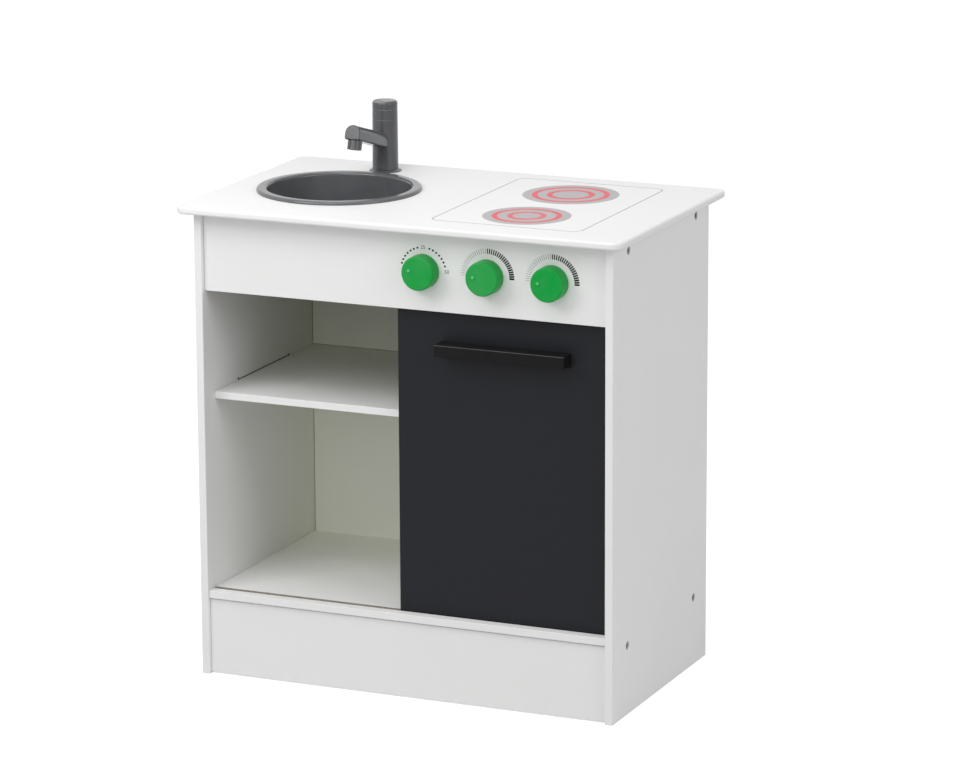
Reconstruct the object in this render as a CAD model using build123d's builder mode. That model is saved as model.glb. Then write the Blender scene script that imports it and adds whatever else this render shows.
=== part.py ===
"""Play kitchen: a small cabinet with a sliding door, a sink with a swivelling tap and three knobs.

Sizes are in millimetres. X runs to the right, Y to the back and Z up. The origin is on the floor
under the middle of the worktop.
"""
import os

from math import radians, sin, cos, tan

from build123d import *

os.makedirs("parts", exist_ok=True)

# Worktop
worktop_width = 490.0
worktop_depth = 300.0
worktop_height = 500.0
worktop_thickness = 8.0
worktop_corner_radius = 12.0
worktop_edge_radius = 2.8

# Side panels
side_overhang = 14.0
front_overhang = 17.4
rear_overhang = 18.9
side_thickness = 8.4
side_edge_radius = 1.0

# Fascia, plinth and bottom board
fascia_height = 82.4
fascia_thickness = 8.0
fascia_recess = 5.6
plinth_thickness = 8.0
plinth_recess = 5.0
plinth_floor_gap = 1.2
plinth_top_gap = 1.2
bottom_top_height = 90.0
bottom_thickness = 8.0
bottom_front_setback = 2.3
board_end_gap = 0.3
board_edge_radius = 0.6

# Shelf and the slots that hold its tongues
shelf_top_height = 299.0
shelf_thickness = 7.6
shelf_front_setback = 24.2
tongue_front_inset = 55.1
tongue_rear_inset = 59.1
tongue_depth = 4.0
slot_end_gap = 0.6
slot_lower_gap = 0.2
slot_upper_gap = 0.9
slot_extra_depth = 0.5
slot_relief_radius = 1.6

# Back board and its grooves
back_thickness = 3.0
back_rear_setback = 3.3
back_lowest = 62.0
back_top_gap = 0.4
back_tongue = 3.6
back_groove_clearance = 0.2
back_groove_end_gap = 2.0

# Battens
batten_width = 16.0
batten_height = 20.0
batten_front_gap = 10.0
batten_rear_gap = 5.8

# Wood screws
screw_radius = 1.9
screw_head_radius = 3.5
screw_head_angle = 82.0
screw_tip_length = 2.5
screw_clearance = 0.05
screw_tip_room = 0.5
side_screw_length = 21.0
side_screw_head_radius = 4.0
side_screw_sink = 1.0
side_screw_front_inset = 18.0
side_screw_rear_inset = 24.0
top_screw_drop = 11.0
bottom_screw_drop = 9.0
upright_screw_length = 25.0
upright_screw_inset = 39.0

# Dowels
dowel_radius = 2.5
dowel_length = 19.0
dowel_in_side = 5.2
dowel_clearance = 0.05
dowel_end_room = 0.5
fascia_dowel_spacing = 50.0
plinth_dowel_spacing = 42.0

# Nails in the back board
nail_radius = 0.7
nail_length = 14.0
nail_head_radius = 1.8
nail_head_height = 0.6
nail_spacing = 150.0
nail_columns = 3

# Door and its guides
door_width = 231.0
door_thickness = 4.6
door_behind_fascia = 20.4
door_side_gap = 0.6
door_fascia_gap = 0.75
door_groove_clearance = 1.05
door_groove_depth = 4.0
door_foot_gap = 0.3
door_edge_radius = 0.5
rail_depth = 15.0
rail_over_door = 10.0
rail_lift_room = 4.5
rail_washer_gap = 0.8
rail_screw_bite = 6.0
rail_screw_count = 4
rail_screw_spacing = 126.0

# Door pull
pull_length = 141.0
pull_depth = 20.0
pull_lip_height = 12.4
pull_back_height = 15.0
pull_wall = 2.6
pull_edge_radius = 1.0
pull_drop = 52.2
pull_centre_from_edge = 119.0
pull_boss_radius = 4.0
pull_boss_length = 9.0
pull_screw_spacing = 96.0
pull_screw_radius = 1.6
pull_screw_length = 12.0
pull_screw_head_radius = 3.0

# Sink
sink_from_left = 118.5
sink_tap_gap = 8.3
sink_rim_radius = 86.0
sink_mouth_radius = 75.0
sink_rim_height = 3.6
sink_floor_radius = 69.0
sink_depth = 62.0
sink_wall = 2.0
sink_corner_radius = 12.0
sink_lip_radius = 3.2
sink_shoulder_radius = 2.8
sink_cutout_clearance = 1.0

# Tap
tap_from_rear = 43.5
tap_from_sink_middle = 1.3
tap_foot_radius = 17.2
tap_foot_edge = 0.9
tap_foot_height = 2.5
tap_shank_radius = 5.9
tap_shank_end = 4.0
tap_hole_clearance = 0.3
tap_spigot_radius = 8.0
tap_spigot_height = 13.0
tap_running_clearance = 0.08
tap_running_gap = 0.3
tap_column_low_radius = 13.8
tap_column_top_radius = 13.5
tap_column_top = 56.0
tap_web = 4.0
tap_cavity_radius = 10.4
tap_handle_top = 66.8
tap_cap_top = 75.4
tap_cap_radius = 13.4
tap_cap_edge_radius = 3.0
tap_seam = 0.45
tap_cap_plug_depth = 6.0
tap_cap_plug_clearance = 0.05
tap_cap_slant = 9.0
tap_cap_slant_start = 4.0
tap_cap_slant_turn = 35.0
tap_handle_stem_depth = 9.0
tap_handle_wall = 2.6
tap_washer_radius = 12.5
tap_washer_thickness = 1.5
tap_nut_across = 19.0
tap_nut_height = 7.0
pivot_screw_radius = 1.9
pivot_screw_head_radius = 4.0
pivot_screw_head_height = 2.4
pivot_screw_length = 16.0

# Spout and nozzle
spout_rise = 16.0
spout_reach = 83.0
spout_width = 17.2
spout_height = 15.6
spout_tip_underside = 47.2
spout_edge_radius = 1.2
spout_corner_radius = 2.4
nozzle_radius = 7.6
nozzle_length = 9.6
nozzle_setback = 8.8
nozzle_bore_radius = 5.8
nozzle_bore_depth = 7.0
nozzle_plug_radius = 4.5
nozzle_plug_depth = 3.0
nozzle_plug_clearance = 0.1

# Knobs
knob_count = 3
knob_side_inset = 59.0
knob_spacing = 70.05
knob_drop = 41.8
knob_back_radius = 17.8
knob_front_radius = 17.5
knob_depth = 15.6
knob_fascia_gap = 0.5
knob_edge_radius = 2.0
knob_wall = 2.2
knob_spindle_radius = 4.0
knob_running_clearance = 0.08
knob_end_play = 0.3
knob_washer_radius = 7.0
knob_washer_thickness = 1.2
knob_screw_radius = 1.5
knob_screw_length = 12.0
knob_screw_head_radius = 3.2
knob_screw_head_height = 2.0
pointer_radius = 2.3
pointer_sunk = 0.6
pointer_offset = 9.0
pointer_turns = (16.4, 8.7, 7.5)
click_ring_radius = 12.6
click_ring_bore_clearance = 1.2
click_ring_thickness = 3.0
click_notches = 16
click_notch_radius = 0.9
click_rib_count = 2
click_rib_width = 2.0
click_rib_clearance = 0.4

# Places worked out from the sizes above
worktop_bottom = worktop_height - worktop_thickness
outer_half = worktop_width / 2 - side_overhang
inner_half = outer_half - side_thickness
side_front = front_overhang - worktop_depth / 2
side_rear = worktop_depth / 2 - rear_overhang
side_depth = side_rear - side_front
board_half = inner_half - board_end_gap
fascia_front = side_front + fascia_recess
fascia_back = fascia_front + fascia_thickness
fascia_bottom = worktop_bottom - fascia_height
plinth_front = side_front + plinth_recess
bottom_underside = bottom_top_height - bottom_thickness
bottom_front = side_front + bottom_front_setback
shelf_front = side_front + shelf_front_setback
shelf_underside = shelf_top_height - shelf_thickness
back_rear = side_rear - back_rear_setback
back_front = back_rear - back_thickness
tongue_front = shelf_front + tongue_front_inset
tongue_rear = back_front - tongue_rear_inset
tongue_length = tongue_rear - tongue_front
tongue_centre_y = (tongue_front + tongue_rear) / 2
batten_front = fascia_back + batten_front_gap
batten_rear = back_front - batten_rear_gap
batten_middle_x = inner_half - batten_width / 2
top_screw_height = worktop_bottom - top_screw_drop
bottom_screw_height = bottom_underside - bottom_screw_drop
door_top_height = fascia_bottom + door_behind_fascia
door_front = fascia_back + door_fascia_gap
door_back = door_front + door_thickness
door_right = inner_half - door_side_gap
door_left = door_right - door_width
door_bottom = bottom_top_height - door_groove_depth + door_foot_gap
door_travel = door_left + inner_half - door_side_gap
groove_front = door_front - door_groove_clearance
groove_back = door_back + door_groove_clearance
pull_top_height = door_top_height - pull_drop
knob_height = worktop_bottom - knob_drop
knob_first_x = inner_half - knob_side_inset - (knob_count - 1) * knob_spacing
rail_back = fascia_back + rail_depth
rail_bottom = door_top_height - rail_over_door
rail_rebate_top = door_top_height + rail_lift_room
rail_top = knob_height - knob_washer_radius - rail_washer_gap
rail_screw_height = (rail_rebate_top + rail_top) / 2
knob_places = [(knob_first_x + knob_spacing * number, knob_height) for number in range(knob_count)]
tap_y = worktop_depth / 2 - tap_from_rear
sink_x = sink_from_left - worktop_width / 2
tap_x = sink_x + tap_from_sink_middle
sink_y = tap_y - tap_foot_radius - sink_tap_gap - sink_rim_radius
screw_hole_radius = screw_radius + screw_clearance
upright_screw_places = [
    (side * batten_middle_x, y)
    for side in (-1, 1)
    for y in (batten_front + upright_screw_inset, batten_rear - upright_screw_inset)
]
rail_screw_places = [
    ((number - (rail_screw_count - 1) / 2) * rail_screw_spacing, rail_screw_height)
    for number in range(rail_screw_count)
]


def level(height):
    """A level plane at this height, looking up."""
    return Plane.XY.offset(height)


def facing_down(height, x=0.0, y=0.0):
    """A level plane at this height that looks down: its x is X and its y is -Y."""
    return Plane(origin=(x, y, height), x_dir=(1, 0, 0), z_dir=(0, 0, -1))


def facing_front(y, x=0.0, z=0.0):
    """An upright plane at this depth that looks to the front: its x is X and its y is Z."""
    return Plane(origin=(x, y, z), x_dir=(1, 0, 0), z_dir=(0, -1, 0))


def facing_back(y, x=0.0, z=0.0):
    """An upright plane at this depth that looks to the back: its x is -X and its y is Z."""
    return Plane(origin=(x, y, z), x_dir=(-1, 0, 0), z_dir=(0, 1, 0))


def facing_side(side, x, y=0.0, z=0.0):
    """An upright plane at this x that looks right (side 1) or left (side -1): its y is Z."""
    return Plane(origin=(x, y, z), x_dir=(0, side, 0), z_dir=(side, 0, 0))


def upright_at(x, y, z):
    """A level plane that looks up, with its origin at this point."""
    return Plane(origin=(x, y, z), x_dir=(1, 0, 0), z_dir=(0, 0, 1))


def half_outline(place, points):
    """The face inside an outline of (radius, height) points beside the place's own normal."""
    beside_axis = Plane(origin=place.origin, x_dir=place.x_dir, z_dir=-place.y_dir)
    with BuildSketch(beside_axis) as outline:
        with BuildLine():
            Polyline(*points, close=True)
        make_face()
    return outline.sketch


def countersunk_screw(length, radius, head_radius):
    """Outline points of a countersunk screw with the face of its head at height 0."""
    head_height = (head_radius - radius) / tan(radians(screw_head_angle / 2))
    return [
        (0, 0),
        (head_radius, 0),
        (radius, -head_height),
        (radius, screw_tip_length - length),
        (0, -length),
    ]


def flat_screw(length, radius, head_radius, head_height):
    """Outline points of a flat-headed screw or nail with the underside of its head at height 0."""
    return [
        (0, head_height),
        (head_radius, head_height),
        (head_radius, 0),
        (radius, 0),
        (radius, -length),
        (0, -length),
    ]


# Worktop, with the cut-outs for the sink and the tap, and blind holes for the screws from below
with BuildPart() as worktop:
    with BuildSketch(level(worktop_bottom)):
        RectangleRounded(worktop_width, worktop_depth, worktop_corner_radius)
        with Locations((sink_x, sink_y)):
            Circle(sink_mouth_radius + sink_wall + sink_cutout_clearance, mode=Mode.SUBTRACT)
        with Locations((tap_x, tap_y)):
            Circle(tap_shank_radius + tap_hole_clearance, mode=Mode.SUBTRACT)
    extrude(amount=worktop_thickness)
    broad_faces = worktop.faces().sort_by(Axis.Z)
    rims = broad_faces[0].outer_wire().edges() + broad_faces[-1].outer_wire().edges()
    fillet(rims, radius=worktop_edge_radius)
    with BuildSketch(level(worktop_bottom)):
        with Locations(upright_screw_places):
            Circle(screw_hole_radius)
    extrude(amount=upright_screw_length - batten_height + screw_tip_room, mode=Mode.SUBTRACT)
worktop.part.label = "worktop"
export_step(worktop.part, "parts/worktop.step")

# Side panels: eased front edges, a groove for the back board, a slot for the shelf's tongue,
# blind holes for the dowels and countersunk holes for the screws
slot_height = shelf_thickness + slot_lower_gap + slot_upper_gap
slot_middle = shelf_underside - slot_lower_gap + slot_height / 2
slot_length = tongue_length + 2 * slot_end_gap
back_groove_bottom = back_lowest - back_groove_end_gap
fascia_middle_y = fascia_front + fascia_thickness / 2
fascia_middle_z = fascia_bottom + fascia_height / 2
plinth_middle_y = plinth_front + plinth_thickness / 2
plinth_top = bottom_underside - plinth_top_gap
plinth_middle_z = (plinth_floor_gap + plinth_top) / 2
dowel_places = [
    (plinth_middle_y, plinth_middle_z - plinth_dowel_spacing / 2),
    (plinth_middle_y, plinth_middle_z + plinth_dowel_spacing / 2),
    (fascia_middle_y, fascia_middle_z - fascia_dowel_spacing / 2),
    (fascia_middle_y, fascia_middle_z + fascia_dowel_spacing / 2),
]
side_screw_places = [
    (y, height)
    for y in (batten_front + side_screw_front_inset, batten_rear - side_screw_rear_inset)
    for height in (bottom_screw_height, top_screw_height)
]
for hand, side in (("left", -1), ("right", 1)):
    inner_face = facing_side(side, side * inner_half)
    with BuildPart() as side_panel:
        with BuildSketch(inner_face):
            with Locations((side * (side_front + side_rear) / 2, worktop_bottom / 2)):
                Rectangle(side_depth, worktop_bottom)
        extrude(amount=side_thickness)
        front_edges = side_panel.edges().filter_by(Axis.Z).group_by(Axis.Y)[0]
        fillet(front_edges, radius=side_edge_radius)
        with BuildSketch(inner_face):
            groove_middle = side * (back_front + back_rear) / 2
            with Locations((groove_middle, (back_groove_bottom + worktop_bottom) / 2)):
                Rectangle(
                    back_thickness + 2 * back_groove_clearance,
                    worktop_bottom - back_groove_bottom,
                )
        extrude(amount=back_tongue + back_groove_clearance, mode=Mode.SUBTRACT)
        with BuildSketch(inner_face):
            with Locations((side * tongue_centre_y, slot_middle)):
                Rectangle(slot_length, slot_height)
                with GridLocations(slot_length, slot_height, 2, 2):
                    Circle(slot_relief_radius)
        extrude(amount=tongue_depth + slot_extra_depth, mode=Mode.SUBTRACT)
        with BuildSketch(inner_face):
            with Locations([(side * y, z) for y, z in dowel_places]):
                Circle(dowel_radius + dowel_clearance)
        extrude(amount=dowel_in_side + dowel_end_room, mode=Mode.SUBTRACT)
        with Locations(facing_side(side, side * outer_half)):
            with Locations([(side * y, z) for y, z in side_screw_places]):
                CounterSinkHole(
                    radius=screw_hole_radius,
                    counter_sink_radius=side_screw_head_radius + side_screw_sink,
                    counter_sink_angle=screw_head_angle,
                )
    side_panel.part.label = f"{hand}_side_panel"
    export_step(side_panel.part, f"parts/{hand}_side_panel.step")

# Battens in the four inner corners: the side screws bite into them, and upright screws pass
# through them into the worktop and the bottom board
batten_kinds = (
    ("top", worktop_bottom - batten_height, top_screw_height),
    ("bottom", bottom_underside - batten_height, bottom_screw_height),
)
for place, batten_base, cross_height in batten_kinds:
    for hand, side in (("left", -1), ("right", 1)):
        cross_places = [(side * y, z) for y, z in side_screw_places if z == cross_height]
        upright_places = [(x, -y) for x, y in upright_screw_places if x * side > 0]
        with BuildPart() as batten:
            with BuildSketch(level(batten_base)):
                with Locations((side * batten_middle_x, (batten_front + batten_rear) / 2)):
                    Rectangle(batten_width, batten_rear - batten_front)
            extrude(amount=batten_height)
            with BuildSketch(facing_side(side, side * inner_half)):
                with Locations(cross_places):
                    Circle(screw_hole_radius)
            cross_depth = side_screw_length + side_screw_sink + screw_tip_room - side_thickness
            extrude(amount=-cross_depth, mode=Mode.SUBTRACT)
            with Locations(facing_down(batten_base)):
                with Locations(upright_places):
                    CounterSinkHole(
                        radius=screw_hole_radius,
                        counter_sink_radius=screw_head_radius + screw_clearance,
                        counter_sink_angle=screw_head_angle,
                    )
        batten.part.label = f"{hand}_{place}_batten"
        export_step(batten.part, f"parts/{hand}_{place}_batten.step")

# Screws through the side panels into the battens
with BuildPart() as side_screws:
    side_screw_points = countersunk_screw(side_screw_length, screw_radius, side_screw_head_radius)
    for side in (-1, 1):
        for y, z in side_screw_places:
            head = facing_side(side, side * (outer_half - side_screw_sink), y, z)
            revolve(half_outline(head, side_screw_points), axis=Axis(head.origin, head.z_dir))
side_screws.part.label = "side_screws"
export_step(side_screws.part, "parts/side_screws.step")

# Upright screws through the battens into the worktop and into the bottom board
for name, batten_base in (
    ("worktop_screws", worktop_bottom - batten_height),
    ("bottom_board_screws", bottom_underside - batten_height),
):
    with BuildPart() as upright_screws:
        upright_points = countersunk_screw(upright_screw_length, screw_radius, screw_head_radius)
        for x, y in upright_screw_places:
            head = facing_down(batten_base, x, y)
            revolve(half_outline(head, upright_points), axis=Axis(head.origin, head.z_dir))
    upright_screws.part.label = name
    export_step(upright_screws.part, f"parts/{name}.step")

# Bottom board, with the groove that the door's lower edge runs in
with BuildPart() as bottom_board:
    with BuildSketch(level(bottom_underside)):
        with Locations((0, (bottom_front + back_front) / 2)):
            Rectangle(2 * board_half, back_front - bottom_front)
    extrude(amount=bottom_thickness)
    front_edges = bottom_board.edges().filter_by(Axis.X).group_by(Axis.Y)[0]
    fillet(front_edges, radius=board_edge_radius)
    with BuildSketch(level(bottom_top_height)):
        with Locations((0, (groove_front + groove_back) / 2)):
            Rectangle(2 * board_half, groove_back - groove_front)
    extrude(amount=-door_groove_depth, mode=Mode.SUBTRACT)
    with BuildSketch(level(bottom_underside)):
        with Locations(upright_screw_places):
            Circle(screw_hole_radius)
    extrude(amount=upright_screw_length - batten_height + screw_tip_room, mode=Mode.SUBTRACT)
    with BuildSketch(facing_back(back_front)):
        with Locations((0, bottom_underside + bottom_thickness / 2)):
            with GridLocations(nail_spacing, 0, nail_columns, 1):
                Circle(nail_radius)
    extrude(amount=back_thickness - nail_length, mode=Mode.SUBTRACT)
bottom_board.part.label = "bottom_board"
export_step(bottom_board.part, "parts/bottom_board.step")

# Shelf: a board with a tongue at each end that sits in the slots of the side panels
with BuildPart() as shelf:
    with BuildSketch(level(shelf_underside)):
        with Locations((0, (shelf_front + back_front) / 2)):
            Rectangle(2 * board_half, back_front - shelf_front)
        with Locations((0, tongue_centre_y)):
            Rectangle(2 * (inner_half + tongue_depth), tongue_length)
    extrude(amount=shelf_thickness)
    front_edges = shelf.edges().filter_by(Axis.X).group_by(Axis.Y)[0]
    fillet(front_edges, radius=board_edge_radius)
    with BuildSketch(facing_back(back_front)):
        with Locations((0, shelf_underside + shelf_thickness / 2)):
            with GridLocations(nail_spacing, 0, nail_columns, 1):
                Circle(nail_radius)
    extrude(amount=back_thickness - nail_length, mode=Mode.SUBTRACT)
shelf.part.label = "shelf"
export_step(shelf.part, "parts/shelf.step")

# Back board: thin, with its edges in the grooves of the side panels
nail_heights = (bottom_underside + bottom_thickness / 2, shelf_underside + shelf_thickness / 2)
nail_places = [
    ((column - (nail_columns - 1) / 2) * nail_spacing, height)
    for height in nail_heights
    for column in range(nail_columns)
]
with BuildPart() as back_board:
    with BuildSketch(facing_back(back_front)):
        with Locations((0, (back_lowest + worktop_bottom - back_top_gap) / 2)):
            Rectangle(2 * (inner_half + back_tongue), worktop_bottom - back_top_gap - back_lowest)
        with Locations(nail_places):
            Circle(nail_radius, mode=Mode.SUBTRACT)
    extrude(amount=back_thickness)
back_board.part.label = "back_board"
export_step(back_board.part, "parts/back_board.step")

# Nails through the back board into the bottom board and the shelf
with BuildPart() as back_nails:
    nail_points = flat_screw(nail_length, nail_radius, nail_head_radius, nail_head_height)
    for x, z in nail_places:
        head = facing_back(back_rear, x, z)
        revolve(half_outline(head, nail_points), axis=Axis(head.origin, head.z_dir))
back_nails.part.label = "back_nails"
export_step(back_nails.part, "parts/back_nails.step")

# Plinth under the bottom board, held by dowels in its ends
board_dowel_depth = dowel_length - dowel_in_side - board_end_gap + dowel_end_room
with BuildPart() as plinth:
    with BuildSketch(facing_front(plinth_front + plinth_thickness)):
        with Locations((0, plinth_middle_z)):
            Rectangle(2 * board_half, plinth_top - plinth_floor_gap)
    extrude(amount=plinth_thickness)
    front_edges = plinth.edges().filter_by(Axis.X).group_by(Axis.Y)[0]
    fillet(front_edges, radius=board_edge_radius)
    for side in (-1, 1):
        with BuildSketch(facing_side(side, side * board_half)):
            with Locations([(side * y, z) for y, z in dowel_places if z < bottom_underside]):
                Circle(dowel_radius + dowel_clearance)
        extrude(amount=-board_dowel_depth, mode=Mode.SUBTRACT)
plinth.part.label = "plinth"
export_step(plinth.part, "parts/plinth.step")

# Fascia: the control panel, with a bore for each knob's spindle, dowels in its ends and blind
# holes at the back for the screws of the rail
with BuildPart() as fascia:
    with BuildSketch(facing_front(fascia_back)):
        with Locations((0, fascia_middle_z)):
            Rectangle(2 * board_half, fascia_height)
        with Locations(knob_places):
            Circle(knob_spindle_radius + knob_running_clearance, mode=Mode.SUBTRACT)
    extrude(amount=fascia_thickness)
    lower_edges = fascia.edges().filter_by(Axis.X).group_by(Axis.Z)[0]
    fillet(lower_edges, radius=board_edge_radius)
    for side in (-1, 1):
        with BuildSketch(facing_side(side, side * board_half)):
            with Locations([(side * y, z) for y, z in dowel_places if z > bottom_underside]):
                Circle(dowel_radius + dowel_clearance)
        extrude(amount=-board_dowel_depth, mode=Mode.SUBTRACT)
    with BuildSketch(facing_front(fascia_back)):
        with Locations(rail_screw_places):
            Circle(screw_hole_radius)
    extrude(amount=rail_screw_bite + screw_tip_room, mode=Mode.SUBTRACT)
fascia.part.label = "fascia"
export_step(fascia.part, "parts/fascia.step")

# Dowels between the side panels and the ends of the fascia and the plinth
with BuildPart() as dowels:
    for side in (-1, 1):
        with BuildSketch(facing_side(side, side * (inner_half + dowel_in_side))):
            with Locations([(side * y, z) for y, z in dowel_places]):
                Circle(dowel_radius)
        extrude(amount=-dowel_length)
dowels.part.label = "dowels"
export_step(dowels.part, "parts/dowels.step")

# Rail behind the fascia: a batten with a rebate that keeps the door's upper edge upright and
# leaves room to lift the door out of its groove
with BuildPart() as door_rail:
    with BuildSketch(Plane.YZ):
        with BuildLine():
            Polyline(
                (fascia_back, rail_top),
                (fascia_back, rail_rebate_top),
                (groove_back, rail_rebate_top),
                (groove_back, rail_bottom),
                (rail_back, rail_bottom),
                (rail_back, rail_top),
                close=True,
            )
        make_face()
    extrude(amount=board_half, both=True)
    with Locations(facing_back(rail_back)):
        with Locations(rail_screw_places):
            CounterSinkHole(
                radius=screw_hole_radius,
                counter_sink_radius=screw_head_radius + screw_clearance,
                counter_sink_angle=screw_head_angle,
            )
door_rail.part.label = "door_rail"
export_step(door_rail.part, "parts/door_rail.step")

# Screws through the rail into the fascia
with BuildPart() as rail_screws:
    rail_points = countersunk_screw(rail_depth + rail_screw_bite, screw_radius, screw_head_radius)
    for x, z in rail_screw_places:
        head = facing_back(rail_back, x, z)
        revolve(half_outline(head, rail_points), axis=Axis(head.origin, head.z_dir))
rail_screws.part.label = "rail_screws"
export_step(rail_screws.part, "parts/rail_screws.step")

# Door: a thin writing board that slides from right to left, drilled for the pull's screws
door_middle_x = (door_left + door_right) / 2
door_middle_z = (door_bottom + door_top_height) / 2
pull_middle_x = door_left + pull_centre_from_edge
pull_screw_height = pull_top_height - pull_back_height / 2
pull_screw_places = [
    (pull_middle_x + way * pull_screw_spacing / 2, pull_screw_height) for way in (-1, 1)
]
with BuildPart() as door_panel:
    with BuildSketch(facing_front(door_back)):
        with Locations((door_middle_x, door_middle_z)):
            Rectangle(door_width, door_top_height - door_bottom)
    extrude(amount=door_thickness)
    upright_edges = door_panel.edges().filter_by(Axis.Z)
    fillet(upright_edges, radius=door_edge_radius)
    with Locations(facing_back(door_back)):
        with Locations([(-x, z) for x, z in pull_screw_places]):
            CounterSinkHole(
                radius=pull_screw_radius + screw_clearance,
                counter_sink_radius=pull_screw_head_radius + screw_clearance,
                counter_sink_angle=screw_head_angle,
            )
door_panel.part.label = "door_panel"
export_step(door_panel.part, "parts/door_panel.step")

# Door pull: a channel open below and closed at its ends, with a flange against the door, a level
# top and a lip to hook the fingers behind, and a boss for each screw
pull_front = door_front - pull_depth
pull_lip_bottom = pull_top_height - pull_lip_height
pull_flange_bottom = pull_top_height - pull_back_height
pull_roof = pull_top_height - pull_wall
with BuildPart() as door_pull:
    with BuildSketch(Plane.YZ.offset(pull_middle_x)):
        with BuildLine():
            Polyline(
                (door_front, pull_top_height),
                (pull_front, pull_top_height),
                (pull_front, pull_lip_bottom),
                (pull_front + pull_wall, pull_lip_bottom),
                (pull_front + pull_wall, pull_roof),
                (door_front - pull_wall, pull_roof),
                (door_front - pull_wall, pull_flange_bottom),
                (door_front, pull_flange_bottom),
                close=True,
            )
        make_face()
    extrude(amount=pull_length / 2, both=True)
    for end_x in (pull_middle_x - pull_length / 2, pull_middle_x + pull_length / 2 - pull_wall):
        with BuildSketch(Plane.YZ.offset(end_x)):
            with Locations((door_front - pull_depth / 2, pull_top_height - pull_lip_height / 2)):
                Rectangle(pull_depth, pull_lip_height)
        extrude(amount=pull_wall)
    front_edges = door_pull.edges().filter_by(Axis.X).group_by(Axis.Y)[0]
    fillet(front_edges, radius=pull_edge_radius)
    with BuildSketch(facing_front(door_front)):
        with Locations(pull_screw_places):
            Circle(pull_boss_radius)
    extrude(amount=pull_boss_length)
    with BuildSketch(facing_front(door_front)):
        with Locations(pull_screw_places):
            Circle(pull_screw_radius + screw_clearance)
    pull_hole_depth = pull_screw_length - door_thickness + screw_tip_room
    extrude(amount=pull_hole_depth, mode=Mode.SUBTRACT)
door_pull.part.label = "door_pull"
export_step(door_pull.part, "parts/door_pull.step")

# Screws from the back of the door into the pull
with BuildPart() as pull_screws:
    pull_screw_points = countersunk_screw(
        pull_screw_length, pull_screw_radius, pull_screw_head_radius
    )
    for x, z in pull_screw_places:
        head = facing_back(door_back, x, z)
        revolve(half_outline(head, pull_screw_points), axis=Axis(head.origin, head.z_dir))
pull_screws.part.label = "pull_screws"
export_step(pull_screws.part, "parts/pull_screws.step")

# Sink: a thin bowl with a rounded rim that rests on the worktop round the cut-out
sink_seat = upright_at(sink_x, sink_y, worktop_height)
with BuildPart() as sink_bowl:
    with BuildSketch(facing_front(sink_y, sink_x, worktop_height)):
        with BuildLine():
            FilletPolyline(
                (0, -sink_depth),
                (sink_floor_radius, -sink_depth),
                (sink_mouth_radius, sink_rim_height),
                (sink_rim_radius, sink_rim_height),
                (sink_rim_radius, 0),
                radius=[sink_corner_radius, sink_lip_radius, sink_shoulder_radius],
            )
            Line((sink_rim_radius, 0), (sink_mouth_radius + sink_wall, 0))
            FilletPolyline(
                (sink_mouth_radius + sink_wall, 0),
                (sink_floor_radius + sink_wall, -sink_depth - sink_wall),
                (0, -sink_depth - sink_wall),
                radius=sink_corner_radius + sink_wall,
            )
            Line((0, -sink_depth - sink_wall), (0, -sink_depth))
        make_face()
    revolve(axis=Axis(sink_seat.origin, sink_seat.z_dir))
sink_bowl.part.label = "sink_bowl"
export_step(sink_bowl.part, "parts/sink_bowl.step")

# Tap foot: a low round foot on the worktop, with a spigot above for the column to turn on and a
# threaded shank below that goes through the worktop
tap_seat = upright_at(tap_x, tap_y, worktop_height)
tap_axis = Axis(tap_seat.origin, tap_seat.z_dir)
tap_spigot_top = tap_foot_height + tap_spigot_height
web_underside = tap_spigot_top + tap_running_gap
web_top = web_underside + tap_web
pivot_hole_bottom = web_top - pivot_screw_length - screw_tip_room
shank_bottom = -worktop_thickness - tap_washer_thickness - tap_nut_height - tap_shank_end
tap_foot_points = [
    (0, shank_bottom),
    (tap_shank_radius, shank_bottom),
    (tap_shank_radius, 0),
    (tap_foot_radius, 0),
    (tap_foot_radius, tap_foot_edge),
    (tap_column_low_radius, tap_foot_height),
    (tap_spigot_radius, tap_foot_height),
    (tap_spigot_radius, tap_spigot_top),
    (pivot_screw_radius + screw_clearance, tap_spigot_top),
    (pivot_screw_radius + screw_clearance, pivot_hole_bottom),
    (0, pivot_hole_bottom),
]
with BuildPart() as tap_foot:
    revolve(half_outline(tap_seat, tap_foot_points), axis=tap_axis)
tap_foot.part.label = "tap_foot"
export_step(tap_foot.part, "parts/tap_foot.step")

# Washer and hexagonal nut that clamp the foot from below the worktop
with BuildPart() as tap_washer:
    with BuildSketch(facing_down(worktop_bottom, tap_x, tap_y)):
        Circle(tap_washer_radius)
        Circle(tap_shank_radius + tap_hole_clearance, mode=Mode.SUBTRACT)
    extrude(amount=tap_washer_thickness)
tap_washer.part.label = "tap_washer"
export_step(tap_washer.part, "parts/tap_washer.step")

with BuildPart() as tap_nut:
    with BuildSketch(facing_down(worktop_bottom - tap_washer_thickness, tap_x, tap_y)):
        RegularPolygon(tap_nut_across / 2, 6, major_radius=False)
        Circle(tap_shank_radius + screw_clearance, mode=Mode.SUBTRACT)
    extrude(amount=tap_nut_height)
tap_nut.part.label = "tap_nut"
export_step(tap_nut.part, "parts/tap_nut.step")

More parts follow.
